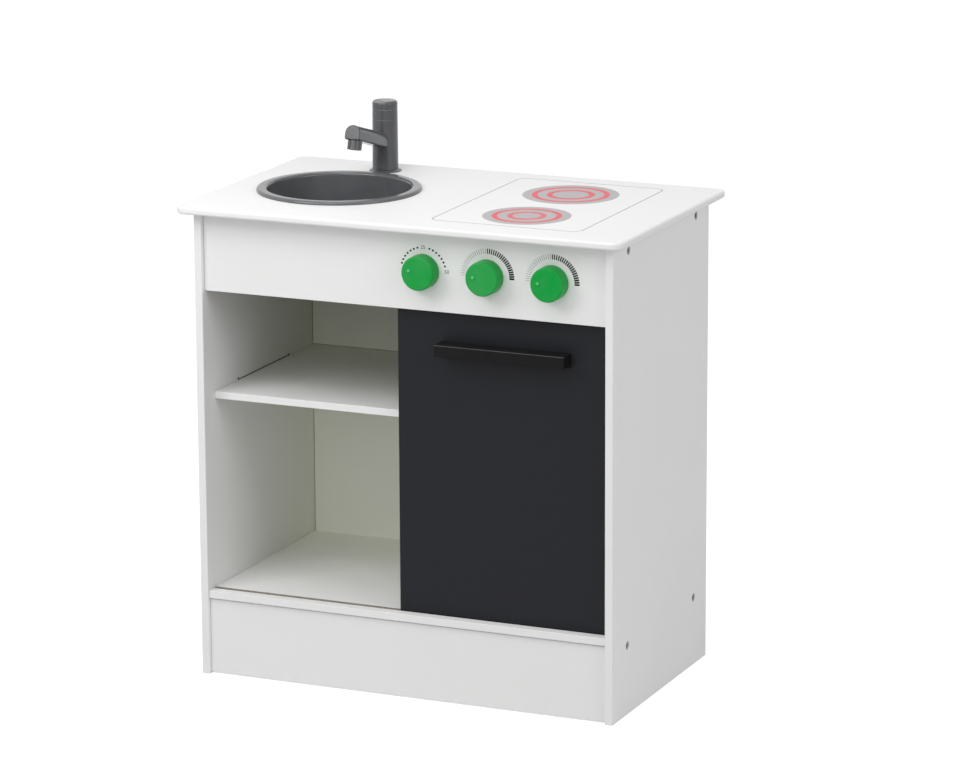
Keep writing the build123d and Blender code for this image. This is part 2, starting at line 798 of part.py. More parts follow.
# Tap column with its spout: a slightly tapered tube with a web inside, and a rising arm whose
# underside is flat, whose top is an arch and whose end is square to its run
column_bottom = tap_foot_height + tap_running_gap
spout_tip_y = tap_y - spout_reach
spout_slope = tan(radians(spout_rise))
spout_shoulder = spout_height - spout_width / 2
column_points = [
    (0, column_bottom),
    (tap_column_low_radius, column_bottom),
    (tap_column_top_radius, tap_column_top - tap_seam),
    (tap_column_top_radius - tap_seam, tap_column_top),
    (0, tap_column_top),
]
column_bore_points = [
    (0, column_bottom),
    (tap_spigot_radius + tap_running_clearance, column_bottom),
    (tap_spigot_radius + tap_running_clearance, web_underside),
    (pivot_screw_radius + tap_running_clearance, web_underside),
    (pivot_screw_radius + tap_running_clearance, web_top),
    (tap_cavity_radius, web_top),
    (tap_cavity_radius, tap_column_top),
    (0, tap_column_top),
]
with BuildPart() as tap_spout:
    revolve(half_outline(tap_seat, column_points), axis=tap_axis)
    spout_end = Plane(
        origin=(tap_x, spout_tip_y, worktop_height + spout_tip_underside),
        x_dir=(1, 0, 0),
        z_dir=(0, -cos(radians(spout_rise)), sin(radians(spout_rise))),
    )
    with BuildSketch(spout_end):
        with BuildLine():
            FilletPolyline(
                (spout_width / 2, spout_shoulder),
                (spout_width / 2, 0),
                (-spout_width / 2, 0),
                (-spout_width / 2, spout_shoulder),
                radius=spout_corner_radius,
            )
            ThreePointArc(
                (-spout_width / 2, spout_shoulder),
                (0, spout_height),
                (spout_width / 2, spout_shoulder),
            )
        make_face()
    extrude(amount=-spout_reach / cos(radians(spout_rise)))
    tip_edges = tap_spout.faces().sort_by(Axis.Y)[0].edges()
    fillet(tip_edges, radius=spout_edge_radius)
    revolve(half_outline(tap_seat, column_bore_points), axis=tap_axis, mode=Mode.SUBTRACT)
    nozzle_drop = Vector(0, -sin(radians(spout_rise)), -cos(radians(spout_rise)))
    nozzle_seat = Plane(
        origin=(
            tap_x,
            spout_tip_y + nozzle_setback,
            worktop_height + spout_tip_underside - nozzle_setback * spout_slope,
        ),
        x_dir=(1, 0, 0),
        z_dir=-nozzle_drop,
    )
    with BuildSketch(nozzle_seat):
        Circle(nozzle_plug_radius + nozzle_plug_clearance)
    extrude(amount=nozzle_plug_depth + nozzle_plug_clearance, mode=Mode.SUBTRACT)
tap_spout.part.label = "tap_spout"
export_step(tap_spout.part, "parts/tap_spout.step")

# Nozzle: a short open cylinder plugged into the underside of the arm
nozzle_points = [
    (0, nozzle_plug_depth),
    (nozzle_plug_radius, nozzle_plug_depth),
    (nozzle_plug_radius, 0),
    (nozzle_radius, 0),
    (nozzle_radius, -nozzle_length),
    (nozzle_bore_radius, -nozzle_length),
    (nozzle_bore_radius, nozzle_bore_depth - nozzle_length),
    (0, nozzle_bore_depth - nozzle_length),
]
with BuildPart() as tap_nozzle:
    revolve(half_outline(nozzle_seat, nozzle_points), axis=Axis(nozzle_seat.origin, nozzle_seat.z_dir))
tap_nozzle.part.label = "tap_nozzle"
export_step(tap_nozzle.part, "parts/tap_nozzle.step")

# Screw that holds the column on the foot and lets it swivel
with BuildPart() as pivot_screw:
    pivot_head = upright_at(tap_x, tap_y, worktop_height + web_top)
    pivot_points = flat_screw(
        pivot_screw_length,
        pivot_screw_radius,
        pivot_screw_head_radius,
        pivot_screw_head_height,
    )
    revolve(half_outline(pivot_head, pivot_points), axis=tap_axis)
pivot_screw.part.label = "pivot_screw"
export_step(pivot_screw.part, "parts/pivot_screw.step")

# Tap handle: a ring that turns on top of the column, with a stem down into its cavity
handle_bottom = tap_column_top + tap_running_gap
stem_radius = tap_cavity_radius - tap_running_clearance
handle_bore = stem_radius - tap_handle_wall
tap_handle_points = [
    (handle_bore, tap_column_top - tap_handle_stem_depth),
    (stem_radius, tap_column_top - tap_handle_stem_depth),
    (stem_radius, handle_bottom),
    (tap_column_top_radius, handle_bottom),
    (tap_cap_radius, tap_handle_top - tap_seam),
    (tap_cap_radius - tap_seam, tap_handle_top),
    (handle_bore, tap_handle_top),
]
with BuildPart() as tap_handle:
    revolve(half_outline(tap_seat, tap_handle_points), axis=tap_axis)
tap_handle.part.label = "tap_handle"
export_step(tap_handle.part, "parts/tap_handle.step")

# Tap cap: a lid plugged into the ring, with a slanted flat across one side of its top
cap_plug_radius = handle_bore - tap_cap_plug_clearance
tap_cap_points = [
    (0, tap_handle_top - tap_cap_plug_depth),
    (cap_plug_radius, tap_handle_top - tap_cap_plug_depth),
    (cap_plug_radius, tap_handle_top),
    (tap_cap_radius - tap_seam, tap_handle_top),
    (tap_cap_radius, tap_handle_top + tap_seam),
    (tap_cap_radius, tap_cap_top),
    (0, tap_cap_top),
]
with BuildPart() as tap_cap:
    revolve(half_outline(tap_seat, tap_cap_points), axis=tap_axis)
    cap_edges = tap_cap.faces().sort_by(Axis.Z)[-1].edges()
    fillet(cap_edges, radius=tap_cap_edge_radius)
    slant_way = Vector(-sin(radians(tap_cap_slant_turn)), -cos(radians(tap_cap_slant_turn)), 0)
    slant_normal = slant_way * sin(radians(tap_cap_slant)) + Vector(0, 0, cos(radians(tap_cap_slant)))
    slant_origin = tap_seat.origin + slant_way * tap_cap_slant_start + Vector(0, 0, tap_cap_top)
    split(bisect_by=Plane(origin=slant_origin, z_dir=slant_normal), keep=Keep.BOTTOM)
tap_cap.part.label = "tap_cap"
export_step(tap_cap.part, "parts/tap_cap.step")

# Click rings on the fascia, inside the knobs: rings with notches round their edges
spindle_end = fascia_thickness + knob_end_play
with BuildPart() as click_rings:
    with BuildSketch(facing_front(fascia_front)):
        with Locations(knob_places):
            Circle(click_ring_radius)
            Circle(knob_spindle_radius + click_ring_bore_clearance, mode=Mode.SUBTRACT)
            with PolarLocations(click_ring_radius, click_notches):
                Circle(click_notch_radius, mode=Mode.SUBTRACT)
    extrude(amount=click_ring_thickness)
click_rings.part.label = "click_rings"
export_step(click_rings.part, "parts/click_rings.step")

# Knobs: hollow turned caps with a spindle through the fascia, a raised dot as pointer and two
# ribs inside that ride round the click ring; each has a washer and a screw behind the fascia
knob_points = [
    (knob_screw_radius + screw_clearance, -spindle_end),
    (knob_spindle_radius, -spindle_end),
    (knob_spindle_radius, knob_depth - knob_wall),
    (knob_front_radius - knob_wall, knob_depth - knob_wall),
    (knob_back_radius - knob_wall, knob_fascia_gap),
    (knob_back_radius, knob_fascia_gap),
    (knob_front_radius, knob_depth),
    (0, knob_depth),
    (0, knob_screw_length + screw_tip_room - spindle_end),
    (knob_screw_radius + screw_clearance, knob_screw_length + screw_tip_room - spindle_end),
]
rib_inner = click_ring_radius + click_rib_clearance
rib_outer = knob_front_radius - knob_wall / 2
knob_washer_y = fascia_front + spindle_end
for number, (x, z) in enumerate(knob_places, start=1):
    knob_seat = facing_front(fascia_front, x, z)
    knob_axis = Axis(knob_seat.origin, knob_seat.z_dir)
    with BuildPart() as knob:
        revolve(half_outline(knob_seat, knob_points), axis=knob_axis)
        front_edge = knob.edges().filter_by(GeomType.CIRCLE).sort_by(Axis.Y)[0]
        fillet(front_edge, radius=knob_edge_radius)
        with Locations(knob_seat):
            with PolarLocations(pointer_offset, 1, start_angle=180 - pointer_turns[number - 1]):
                with Locations((0, 0, knob_depth - pointer_sunk)):
                    Sphere(pointer_radius)
        with BuildSketch(knob_seat.offset(knob_fascia_gap)):
            with PolarLocations((rib_inner + rib_outer) / 2, click_rib_count, start_angle=90):
                Rectangle(rib_outer - rib_inner, click_rib_width)
        extrude(amount=click_ring_thickness)
    knob.part.label = f"knob_{number}"
    export_step(knob.part, f"parts/knob_{number}.step")

    with BuildPart() as knob_washer:
        with BuildSketch(facing_back(knob_washer_y, x, z)):
            Circle(knob_washer_radius)
            Circle(knob_screw_radius + screw_clearance, mode=Mode.SUBTRACT)
        extrude(amount=knob_washer_thickness)
    knob_washer.part.label = f"knob_washer_{number}"
    export_step(knob_washer.part, f"parts/knob_washer_{number}.step")

    with BuildPart() as knob_screw:
        screw_seat = facing_back(knob_washer_y + knob_washer_thickness, x, z)
        knob_screw_points = flat_screw(
            knob_screw_length + knob_washer_thickness,
            knob_screw_radius,
            knob_screw_head_radius,
            knob_screw_head_height,
        )
        revolve(
            half_outline(screw_seat, knob_screw_points),
            axis=Axis(screw_seat.origin, screw_seat.z_dir),
        )
    knob_screw.part.label = f"knob_screw_{number}"
    export_step(knob_screw.part, f"parts/knob_screw_{number}.step")

print(f"The door slides {door_travel:.1f} mm to the left")
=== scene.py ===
# %% [markdown]
# # Play kitchen
#
# A small cabinet for a child: white boards, a sliding writing-board door, a round sink with a tap,
# two printed hotplates and three green knobs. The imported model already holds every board, knob
# and screw at its real size and place. Here each of them gets its finish, and what is too thin or
# too fine to be a solid of its own, such as print and the cross in a screw head, is laid on top.
#
# Lengths are in metres, X runs to the right, Y to the back and Z up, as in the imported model.

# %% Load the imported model
from math import cos, pi, radians, sin

import bmesh
import bpy
import numpy as np
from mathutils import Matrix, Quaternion, Vector


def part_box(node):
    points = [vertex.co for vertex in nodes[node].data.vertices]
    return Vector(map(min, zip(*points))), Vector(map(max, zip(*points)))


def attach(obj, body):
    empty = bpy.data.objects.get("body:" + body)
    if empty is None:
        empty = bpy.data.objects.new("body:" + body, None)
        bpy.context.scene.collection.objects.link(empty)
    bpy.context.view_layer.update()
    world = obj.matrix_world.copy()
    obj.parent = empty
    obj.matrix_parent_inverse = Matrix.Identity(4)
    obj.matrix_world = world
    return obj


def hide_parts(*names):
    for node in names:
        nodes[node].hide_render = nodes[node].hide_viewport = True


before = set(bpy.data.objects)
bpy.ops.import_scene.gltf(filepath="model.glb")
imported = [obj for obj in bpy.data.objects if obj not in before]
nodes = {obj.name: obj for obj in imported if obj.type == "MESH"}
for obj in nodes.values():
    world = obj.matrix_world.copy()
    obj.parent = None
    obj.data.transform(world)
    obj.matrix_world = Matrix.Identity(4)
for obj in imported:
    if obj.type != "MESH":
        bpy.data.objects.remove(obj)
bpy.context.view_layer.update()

MM = 0.001

# %% [markdown]
# ## Camera
#
# The photograph was taken with a long lens from the right and a little above, so the cabinet's
# upright edges stay nearly parallel. A long lens far away does the same here. The camera is
# placed by what it looks at, from which side and how far away, which is easier to change than
# bare coordinates would be.

# %% Camera at the photograph's angle
lens_length = 168.3
camera_aim = Vector((0.0228, 0.0216, 0.2933))
camera_azimuth = 23.66
camera_elevation = 13.78
camera_roll = -0.27
camera_distance = 4.689
farthest_seen = 50.0


def new_object(name, data):
    """An object with this data, put into the scene."""
    made = bpy.data.objects.new(name, data)
    bpy.context.scene.collection.objects.link(made)
    return made


def look_at(thing, aim, azimuth, elevation, distance, roll=0.0):
    """Places a camera or a lamp so that it looks at aim, from angles in degrees and a distance.

    Its direction from aim has X = sin(azimuth) cos(elevation), Y = -cos(azimuth) cos(elevation)
    and Z = sin(elevation).
    """
    around_z, upwards = radians(azimuth), radians(elevation)
    away = Vector((
        sin(around_z) * cos(upwards),
        -cos(around_z) * cos(upwards),
        sin(upwards),
    ))
    turn = (-away).to_track_quat("-Z", "Y")
    thing.location = aim + away * distance
    thing.rotation_mode = "QUATERNION"
    thing.rotation_quaternion = turn @ Quaternion((0, 0, 1), radians(roll))


camera = new_object("camera", bpy.data.cameras.new("camera"))
camera.data.lens = lens_length
camera.data.clip_end = farthest_seen
look_at(camera, camera_aim, camera_azimuth, camera_elevation, camera_distance, camera_roll)
bpy.context.scene.camera = camera
print("camera at", [round(v, 3) for v in camera.location])

# %% [markdown]
# ## Node helpers
#
# Every finish below is a tree of shader nodes. Writing each node out with its links takes many
# lines, so one helper adds a node and sets or links its sockets in a single call. A value that is
# itself a socket becomes a link, and anything else becomes the socket's own value.

# %% Add nodes and links in one call
def add_node(tree, kind, inputs=None, **settings):
    """A new node: settings are its options, inputs maps a socket to a value or to its source."""
    made = tree.nodes.new(kind)
    for name, value in settings.items():
        setattr(made, name, value)
    for socket, value in (inputs or {}).items():
        if isinstance(value, bpy.types.NodeSocket):
            tree.links.new(value, made.inputs[socket])
        else:
            made.inputs[socket].default_value = value
    return made


def calculate(tree, operation, first, second=0.0, third=0.0, clamp=False):
    """The output of a Math node."""
    inputs = {0: first, 1: second, 2: third}
    return add_node(tree, "ShaderNodeMath", inputs, operation=operation, use_clamp=clamp).outputs[0]


def all_of(tree, first, *others):
    """The product of masks: 1 where all of them are 1."""
    for other in others:
        first = calculate(tree, "MULTIPLY", first, other)
    return first


def within(tree, value, low, high):
    """1 where value lies between low and high, and 0 elsewhere."""
    middle = (low + high) / 2
    return calculate(tree, "COMPARE", value, middle, (high - low) / 2)


def object_place(tree):
    """A point's place on the object, as one vector."""
    return add_node(tree, "ShaderNodeTexCoord").outputs["Object"]


def object_axes(tree):
    """A point's place on the object, as its X, Y and Z."""
    return add_node(tree, "ShaderNodeSeparateXYZ", {0: object_place(tree)}).outputs


def remap(tree, value, low, high, new_low, new_high):
    """Value moved from the span low to high into the span new_low to new_high, and held there."""
    inputs = {0: value, 1: low, 2: high, 3: new_low, 4: new_high}
    return add_node(tree, "ShaderNodeMapRange", inputs).outputs[0]


def mix_colours(tree, factor, first, second):
    """First where factor is 0 and second where it is 1."""
    inputs = {0: factor, 6: first, 7: second}
    return add_node(tree, "ShaderNodeMix", inputs, data_type="RGBA").outputs[2]


def noise(tree, vector, scale, detail=2.0, roughness=0.5, distortion=0.0):
    """A noise texture's value, within about noise_span, at this many features a metre."""
    inputs = {
        "Vector": vector,
        "Scale": scale,
        "Detail": detail,
        "Roughness": roughness,
        "Distortion": distortion,
    }
    return add_node(tree, "ShaderNodeTexNoise", inputs).outputs["Fac"]


noise_span = (0.3, 0.7)
print("node helpers are ready, a noise is taken to span", noise_span)

# %% [markdown]
# ## Shared effects
#
# Several finishes have something in common: edges rub off, paint has a fine peel, moulded
# plastic has a fine grain and raw board shows its fibres. Each of these is one node group, built
# once and placed in every material that needs it with that material's own values. The groups
# give out colours, masks and heights only, and the shader itself stays in the material.

# %% Make and place a node group
def new_group(name, inputs, outputs):
    """An empty shader node group with these sockets, and its input and output nodes."""
    tree = bpy.data.node_groups.new(name, "ShaderNodeTree")
    kinds = {"colour": "NodeSocketColor", "number": "NodeSocketFloat", "vector": "NodeSocketVector"}
    for socket, kind in inputs:
        tree.interface.new_socket(socket, in_out="INPUT", socket_type=kinds[kind])
    for socket, kind in outputs:
        tree.interface.new_socket(socket, in_out="OUTPUT", socket_type=kinds[kind])
    return tree, tree.nodes.new("NodeGroupInput"), tree.nodes.new("NodeGroupOutput")


def give_out(tree, result, **values):
    """Links these values to the group's outputs of the same names."""
    for name, value in values.items():
        tree.links.new(value, result.inputs[name])


def use_group(tree, group, inputs):
    """A node group placed in a material with its own values."""
    return add_node(tree, "ShaderNodeGroup", inputs, node_tree=group)


print("group helpers are ready")

# %% [markdown]
# Edge wear could be painted by hand. Here the Bevel node finds the edges: it gives the normal
# that a rounded edge would have, and where that turns away from the real one there is an edge.

# %% Group: edge wear
edge_turn = (0.01, 0.2)
patch_strength = (0.2, 1.0)


def build_edge_wear():
    """Mask of rubbed edges: one minus the dot product of the rounded and the real normal."""
    tree, given, result = new_group(
        "edge_wear",
        [("Width", "number"), ("Breakup", "number"), ("Amount", "number")],
        [("Mask", "number")],
    )
    rounded = add_node(tree, "ShaderNodeBevel", {"Radius": given.outputs["Width"]}, samples=4)
    real = add_node(tree, "ShaderNodeNewGeometry")
    facing = add_node(
        tree,
        "ShaderNodeVectorMath",
        {0: rounded.outputs["Normal"], 1: real.outputs["Normal"]},
        operation="DOT_PRODUCT",
    )
    turned = calculate(tree, "SUBTRACT", 1.0, facing.outputs["Value"])
    edge = remap(tree, turned, *edge_turn, 0.0, 1.0)
    clouds = noise(tree, object_place(tree), given.outputs["Breakup"], 3.0)
    patches = remap(tree, clouds, 0.35, 0.65, *patch_strength)
    worn = calculate(tree, "MULTIPLY", edge, patches)
    strength = calculate(tree, "MULTIPLY", worn, given.outputs["Amount"], clamp=True)
    give_out(tree, result, Mask=strength)
    return tree


edge_wear = build_edge_wear()
print("group:", edge_wear.name)

# %% [markdown]
# White lacquer on fibreboard is never quite even. It is a little lighter and darker over a hand's
# width, it has a fine orange peel of about a millimetre, and here and there a grain of dust was
# caught under it. Three noises of different scale and a sparse Voronoi pattern give these.

# %% Group: paint film
cloud_scale, mottle_scale, peel_scale = 9.0, 70.0, 850.0
mottle_spread = (-0.05, 0.06)
nib_cells = 95.0
nib_edge = (0.035, 0.06)
nib_threshold = 0.93
nib_relief = 2.0
paint_shade = (0.36, 0.34, 0.30, 1.0)


def build_paint_film():
    """Colour, roughness and height of a sprayed paint film with a fine peel and a few nibs."""
    tree, given, result = new_group(
        "paint_film",
        [("Colour", "colour"), ("Tone", "number"), ("Gloss", "number"), ("Nibs", "number")],
        [("Colour", "colour"), ("Roughness", "number"), ("Height", "number")],
    )
    place = object_place(tree)
    cloud = remap(tree, noise(tree, place, cloud_scale, 2.0), *noise_span, 0.0, 1.0)
    shade = calculate(tree, "MULTIPLY", cloud, given.outputs["Tone"])
    cell = add_node(tree, "ShaderNodeTexVoronoi", {"Vector": place, "Scale": nib_cells})
    near = remap(tree, cell.outputs["Distance"], *nib_edge, 1.0, 0.0)
    chance = add_node(tree, "ShaderNodeSeparateColor", {0: cell.outputs["Color"]}).outputs[0]
    rare = calculate(tree, "GREATER_THAN", chance, nib_threshold)
    nib = calculate(tree, "MULTIPLY", near, rare)
    nib_shade = calculate(tree, "MULTIPLY", nib, given.outputs["Nibs"])
    darker = calculate(tree, "ADD", shade, nib_shade, clamp=True)
    colour = mix_colours(tree, darker, given.outputs["Colour"], paint_shade)
    mottle = remap(tree, noise(tree, place, mottle_scale, 4.0, 0.6), *noise_span, *mottle_spread)
    peel = remap(tree, noise(tree, place, peel_scale, 2.0), *noise_span, 0.0, 1.0)
    rough = calculate(tree, "ADD", given.outputs["Gloss"], mottle)
    height = calculate(tree, "MULTIPLY_ADD", nib, nib_relief, peel)
    give_out(tree, result, Colour=colour, Roughness=rough, Height=height)
    return tree


paint_film = build_paint_film()
print("group:", paint_film.name)

# %% [markdown]
# Where a board is cut or grooved, its brown pressed fibres show. Two noises, one of short fibres
# and one of coarser flakes, mix a light and a dark brown.

# %% Group: pressed fibre
fibre_scale, flake_scale = 1500.0, 260.0
fibre_part, flake_part = 0.4, 0.6


def build_pressed_fibre():
    """Colour and height of raw pressed wood fibre."""
    tree, given, result = new_group(
        "pressed_fibre",
        [("Light", "colour"), ("Dark", "colour")],
        [("Colour", "colour"), ("Height", "number")],
    )
    place = object_place(tree)
    fibres = noise(tree, place, fibre_scale, 4.0, 0.7, 1.5)
    flakes = noise(tree, place, flake_scale, 3.0, 0.6)
    fine = calculate(tree, "MULTIPLY", fibres, fibre_part)
    both = calculate(tree, "MULTIPLY_ADD", flakes, flake_part, fine)
    share = remap(tree, both, 0.36, 0.62, 0.0, 1.0)
    colour = mix_colours(tree, share, given.outputs["Dark"], given.outputs["Light"])
    give_out(tree, result, Colour=colour, Height=share)
    return tree


pressed_fibre = build_pressed_fibre()
print("group:", pressed_fibre.name)

# %% [markdown]
# Moulded plastic copies the skin of its mould: a very fine grain, slightly duller and shinier
# patches where hands touch it, and a faint drift of colour from the flow of the melt.

# %% Group: moulded skin
flow_scale, touch_scale = 22.0, 48.0
touch_spread = (0.88, 1.16)
flow_share = 0.12
flow_grey = (0.8, 0.8, 0.8, 1.0)


def build_moulded_skin():
    """Colour, roughness and height of a moulded plastic surface."""
    tree, given, result = new_group(
        "moulded_skin",
        [("Colour", "colour"), ("Gloss", "number"), ("Grain", "number"), ("Drift", "number")],
        [("Colour", "colour"), ("Roughness", "number"), ("Height", "number")],
    )
    place = object_place(tree)
    flow = remap(tree, noise(tree, place, flow_scale, 3.0, 0.55, 0.8), *noise_span, 0.0, 1.0)
    paler = mix_colours(tree, flow_share, given.outputs["Colour"], flow_grey)
    drift = calculate(tree, "MULTIPLY", flow, given.outputs["Drift"])
    colour = mix_colours(tree, drift, given.outputs["Colour"], paler)
    clouds = noise(tree, place, touch_scale, 4.0, 0.6)
    touched = remap(tree, clouds, 0.32, 0.68, *touch_spread)
    grain = noise(tree, place, given.outputs["Grain"], 2.0)
    rough = calculate(tree, "MULTIPLY", given.outputs["Gloss"], touched)
    give_out(tree, result, Colour=colour, Roughness=rough, Height=grain)
    return tree


moulded_skin = build_moulded_skin()
print("group:", moulded_skin.name)

# %% [markdown]
# The battens, the rail and the dowels are planed softwood. Sawn lengthways, such a stick shows
# its year rings as long wavy stripes. The coordinates are squeezed along the grain first, so the
# same rings and fibres run along whichever way the stick lies.

# %% Group: softwood
year_ring_scale, wood_fibre_scale = 75.0, 1100.0
wood_roughness = (0.62, 0.5)


def build_softwood():
    """Colour, roughness and height of planed softwood; the vector's Y runs along the grain."""
    tree, given, result = new_group(
        "softwood",
        [("Vector", "vector"), ("Early", "colour"), ("Late", "colour")],
        [("Colour", "colour"), ("Roughness", "number"), ("Height", "number")],
    )
    rings = add_node(
        tree,
        "ShaderNodeTexWave",
        {
            "Vector": given.outputs["Vector"],
            "Scale": year_ring_scale,
            "Distortion": 5.0,
            "Detail": 3.0,
            "Detail Scale": 0.6,
        },
        bands_direction="DIAGONAL",
    )
    band = remap(tree, rings.outputs["Fac"], 0.45, 1.0, 0.0, 0.85)
    fibres = noise(tree, given.outputs["Vector"], wood_fibre_scale, 3.0)
    fibre = remap(tree, fibres, 0.35, 0.65, 0.0, 0.35)
    share = calculate(tree, "ADD", band, fibre, clamp=True)
    colour = mix_colours(tree, share, given.outputs["Early"], given.outputs["Late"])
    rough = remap(tree, share, 0.0, 1.0, *wood_roughness)
    give_out(tree, result, Colour=colour, Roughness=rough, Height=share)
    return tree


softwood = build_softwood()
print("group:", softwood.name)

# %% [markdown]
# ## Finishes of the boards
#
# Each material below has the same last step: a Principled shader whose colour, roughness and
# bump come from the groups. A small function makes it, so that each finish only says what is its
# own. Values that are the same all over, such as the specular level, are set on the shader.

# %% Shader with a bump
def empty_material(name):
    """A new material without nodes."""
    material = bpy.data.materials.new(name)
    material.use_nodes = True
    material.node_tree.nodes.clear()
    return material


def finish_material(material, colour, roughness, height, bump_depth, **fixed):
    """Gives a material its Principled shader; fixed holds plain values for other sockets."""
    tree = material.node_tree
    bump = add_node(tree, "ShaderNodeBump", {"Height": height, "Distance": bump_depth})
    shader = add_node(
        tree,
        "ShaderNodeBsdfPrincipled",
        {"Base Color": colour, "Roughness": roughness, "Normal": bump.outputs["Normal"]},
    )
    for socket, value in fixed.items():
        shader.inputs[socket.replace("_", " ")].default_value = value
    output = add_node(tree, "ShaderNodeOutputMaterial", {"Surface": shader.outputs["BSDF"]})
    output.is_active_output = True
    return material


def dress(material, *names):
    """Puts a material on these CAD nodes in place of the one that they came with."""
    for name in names:
        slots = nodes[name].material_slots
        for number in range(len(slots)):
            slots[number].material = material


print("material helpers are ready")

# %% [markdown]
# The boards are white outside. Inside, their colour holds painted light: a warmer tint stands in
# for the yellowish light bounced about inside, and below the shelf a lighter colour stands in for
# the brighter light there. Both belong to the same board, so a mask tells inside from outside by
# place: behind the door's groove and between the side panels' inner faces, ever stronger towards
# the back board.
#
# Three cuts are made after painting. The door's groove and the countersinks of the side screws show
# raw fibre. The slots for the shelf's tongues are a little higher than the shelf is thick, and
# their walls and a thin rim of the shelf beside them are painted dark, as painted shade in the
# slit. Each is a mask of its own, and their limits come from the boxes of the boards and screws
# themselves.

# %% Places and colours of the white boards
worktop_low, worktop_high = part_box("worktop")
bottom_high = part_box("bottom_board")[1]
door_low, door_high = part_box("door_panel")
back_low, back_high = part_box("back_board")
shelf_low, shelf_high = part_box("shelf")
screw_low, screw_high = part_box("side_screws")
inner_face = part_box("right_side_panel")[0].x
skin = 0.2 * MM
groove_clearance = 1.05 * MM
groove_front = door_low.y - groove_clearance - skin
groove_back = door_high.y + groove_clearance + skin
groove_below_door = 1.0 * MM
head_radius = 4.0 * MM
countersink_rim = 0.35 * MM
slot_setback = 54.5 * MM
slot_end_gap = 58.5 * MM
slot_front = shelf_low.y + slot_setback
slot_rear = back_low.y - slot_end_gap
slot_gap = 0.9 * MM
slot_depth = 4.7 * MM
slot_rim = 0.35 * MM
wall_skin = 0.02 * MM
slot_relief = 1.8 * MM
# Strength of the painted shade in the slots of the shelf.
slot_shade_strength = 0.85
# The inside colours are painted light: a warm tint for bounced light, and lighter below the shelf.
white = (0.83, 0.83, 0.828, 1.0)
painted_bounce_white = (0.83, 0.843, 0.73, 1.0)
painted_bright_white_low = (0.93, 0.943, 0.84, 1.0)
bounce_tint_growth = 1.5
raw_light = (0.42, 0.38, 0.33, 1.0)
raw_dark = (0.27, 0.235, 0.20, 1.0)
raw_dullness = 0.35
# Painted shade, for the slit of the shelf slots and the joints of the back board.
painted_joint_shade = (0.03, 0.03, 0.025, 1.0)
print("groove from", round(groove_front, 4), "slot from", round(slot_front, 4))

# %% Masks of the white boards
def fold(tree, value, low, high):
    """How far value lies from the nearer of low and high: abs(abs(value - middle) - half)."""
    middle = (low + high) / 2
    away = calculate(tree, "ABSOLUTE", calculate(tree, "SUBTRACT", value, middle))
    return calculate(tree, "ABSOLUTE", calculate(tree, "SUBTRACT", away, (high - low) / 2))


def between_sides(tree, x):
    """1 between the inner faces of the side panels, and on these faces."""
    return within(tree, x, -inner_face - skin, inner_face + skin)


def painted_bounce_depth(tree, x, y, z):
    """Painted bounce tint: a power of the share of the way from the groove to the back board,
    inside.
    """
    share = remap(tree, y, groove_back, back_low.y, 0.0, 1.0)
    grown = calculate(tree, "POWER", share, bounce_tint_growth)
    behind = calculate(tree, "GREATER_THAN", y, groove_back)
    under = calculate(tree, "LESS_THAN", z, worktop_low.z + skin)
    return all_of(tree, between_sides(tree, x), grown, behind, under)


def raw_cuts(tree, x, y, z):
    """1 in the door's groove, and near a side screw's axis on the outside of a side panel."""
    along = within(tree, y, groove_front, groove_back)
    below = within(tree, z, door_low.z - groove_below_door, bottom_high.z - skin)
    groove = all_of(tree, along, below, between_sides(tree, x))
    away_y = fold(tree, y, screw_low.y + head_radius, screw_high.y - head_radius)
    away_z = fold(tree, z, screw_low.z + head_radius, screw_high.z - head_radius)
    square_z = calculate(tree, "MULTIPLY", away_z, away_z)
    squares = calculate(tree, "MULTIPLY_ADD", away_y, away_y, square_z)
    near = calculate(tree, "LESS_THAN", squares, (head_radius + countersink_rim) ** 2)
    outside = calculate(tree, "SUBTRACT", 1.0, between_sides(tree, x))
    return calculate(tree, "MAXIMUM", groove, all_of(tree, near, outside))


def painted_slot_shade(tree, x, y, z):
    """1 on the walls of the slots and on a thin rim of the shelf beside them: painted shade."""
    aside = calculate(tree, "ABSOLUTE", x)
    slot_end = inner_face + slot_depth
    rim = all_of(
        tree,
        within(tree, aside, inner_face - slot_rim, slot_end),
        within(tree, y, slot_front, slot_rear),
        within(tree, z, shelf_high.z - skin, shelf_high.z + slot_gap),
    )
    walls = all_of(
        tree,
        within(tree, aside, inner_face + wall_skin, slot_end),
        within(tree, y, slot_front - slot_relief, slot_rear + slot_relief),
        within(tree, z, shelf_low.z - slot_relief, shelf_high.z + slot_gap + slot_relief),
    )
    return calculate(tree, "MAXIMUM", rim, walls)


print("masks are ready")

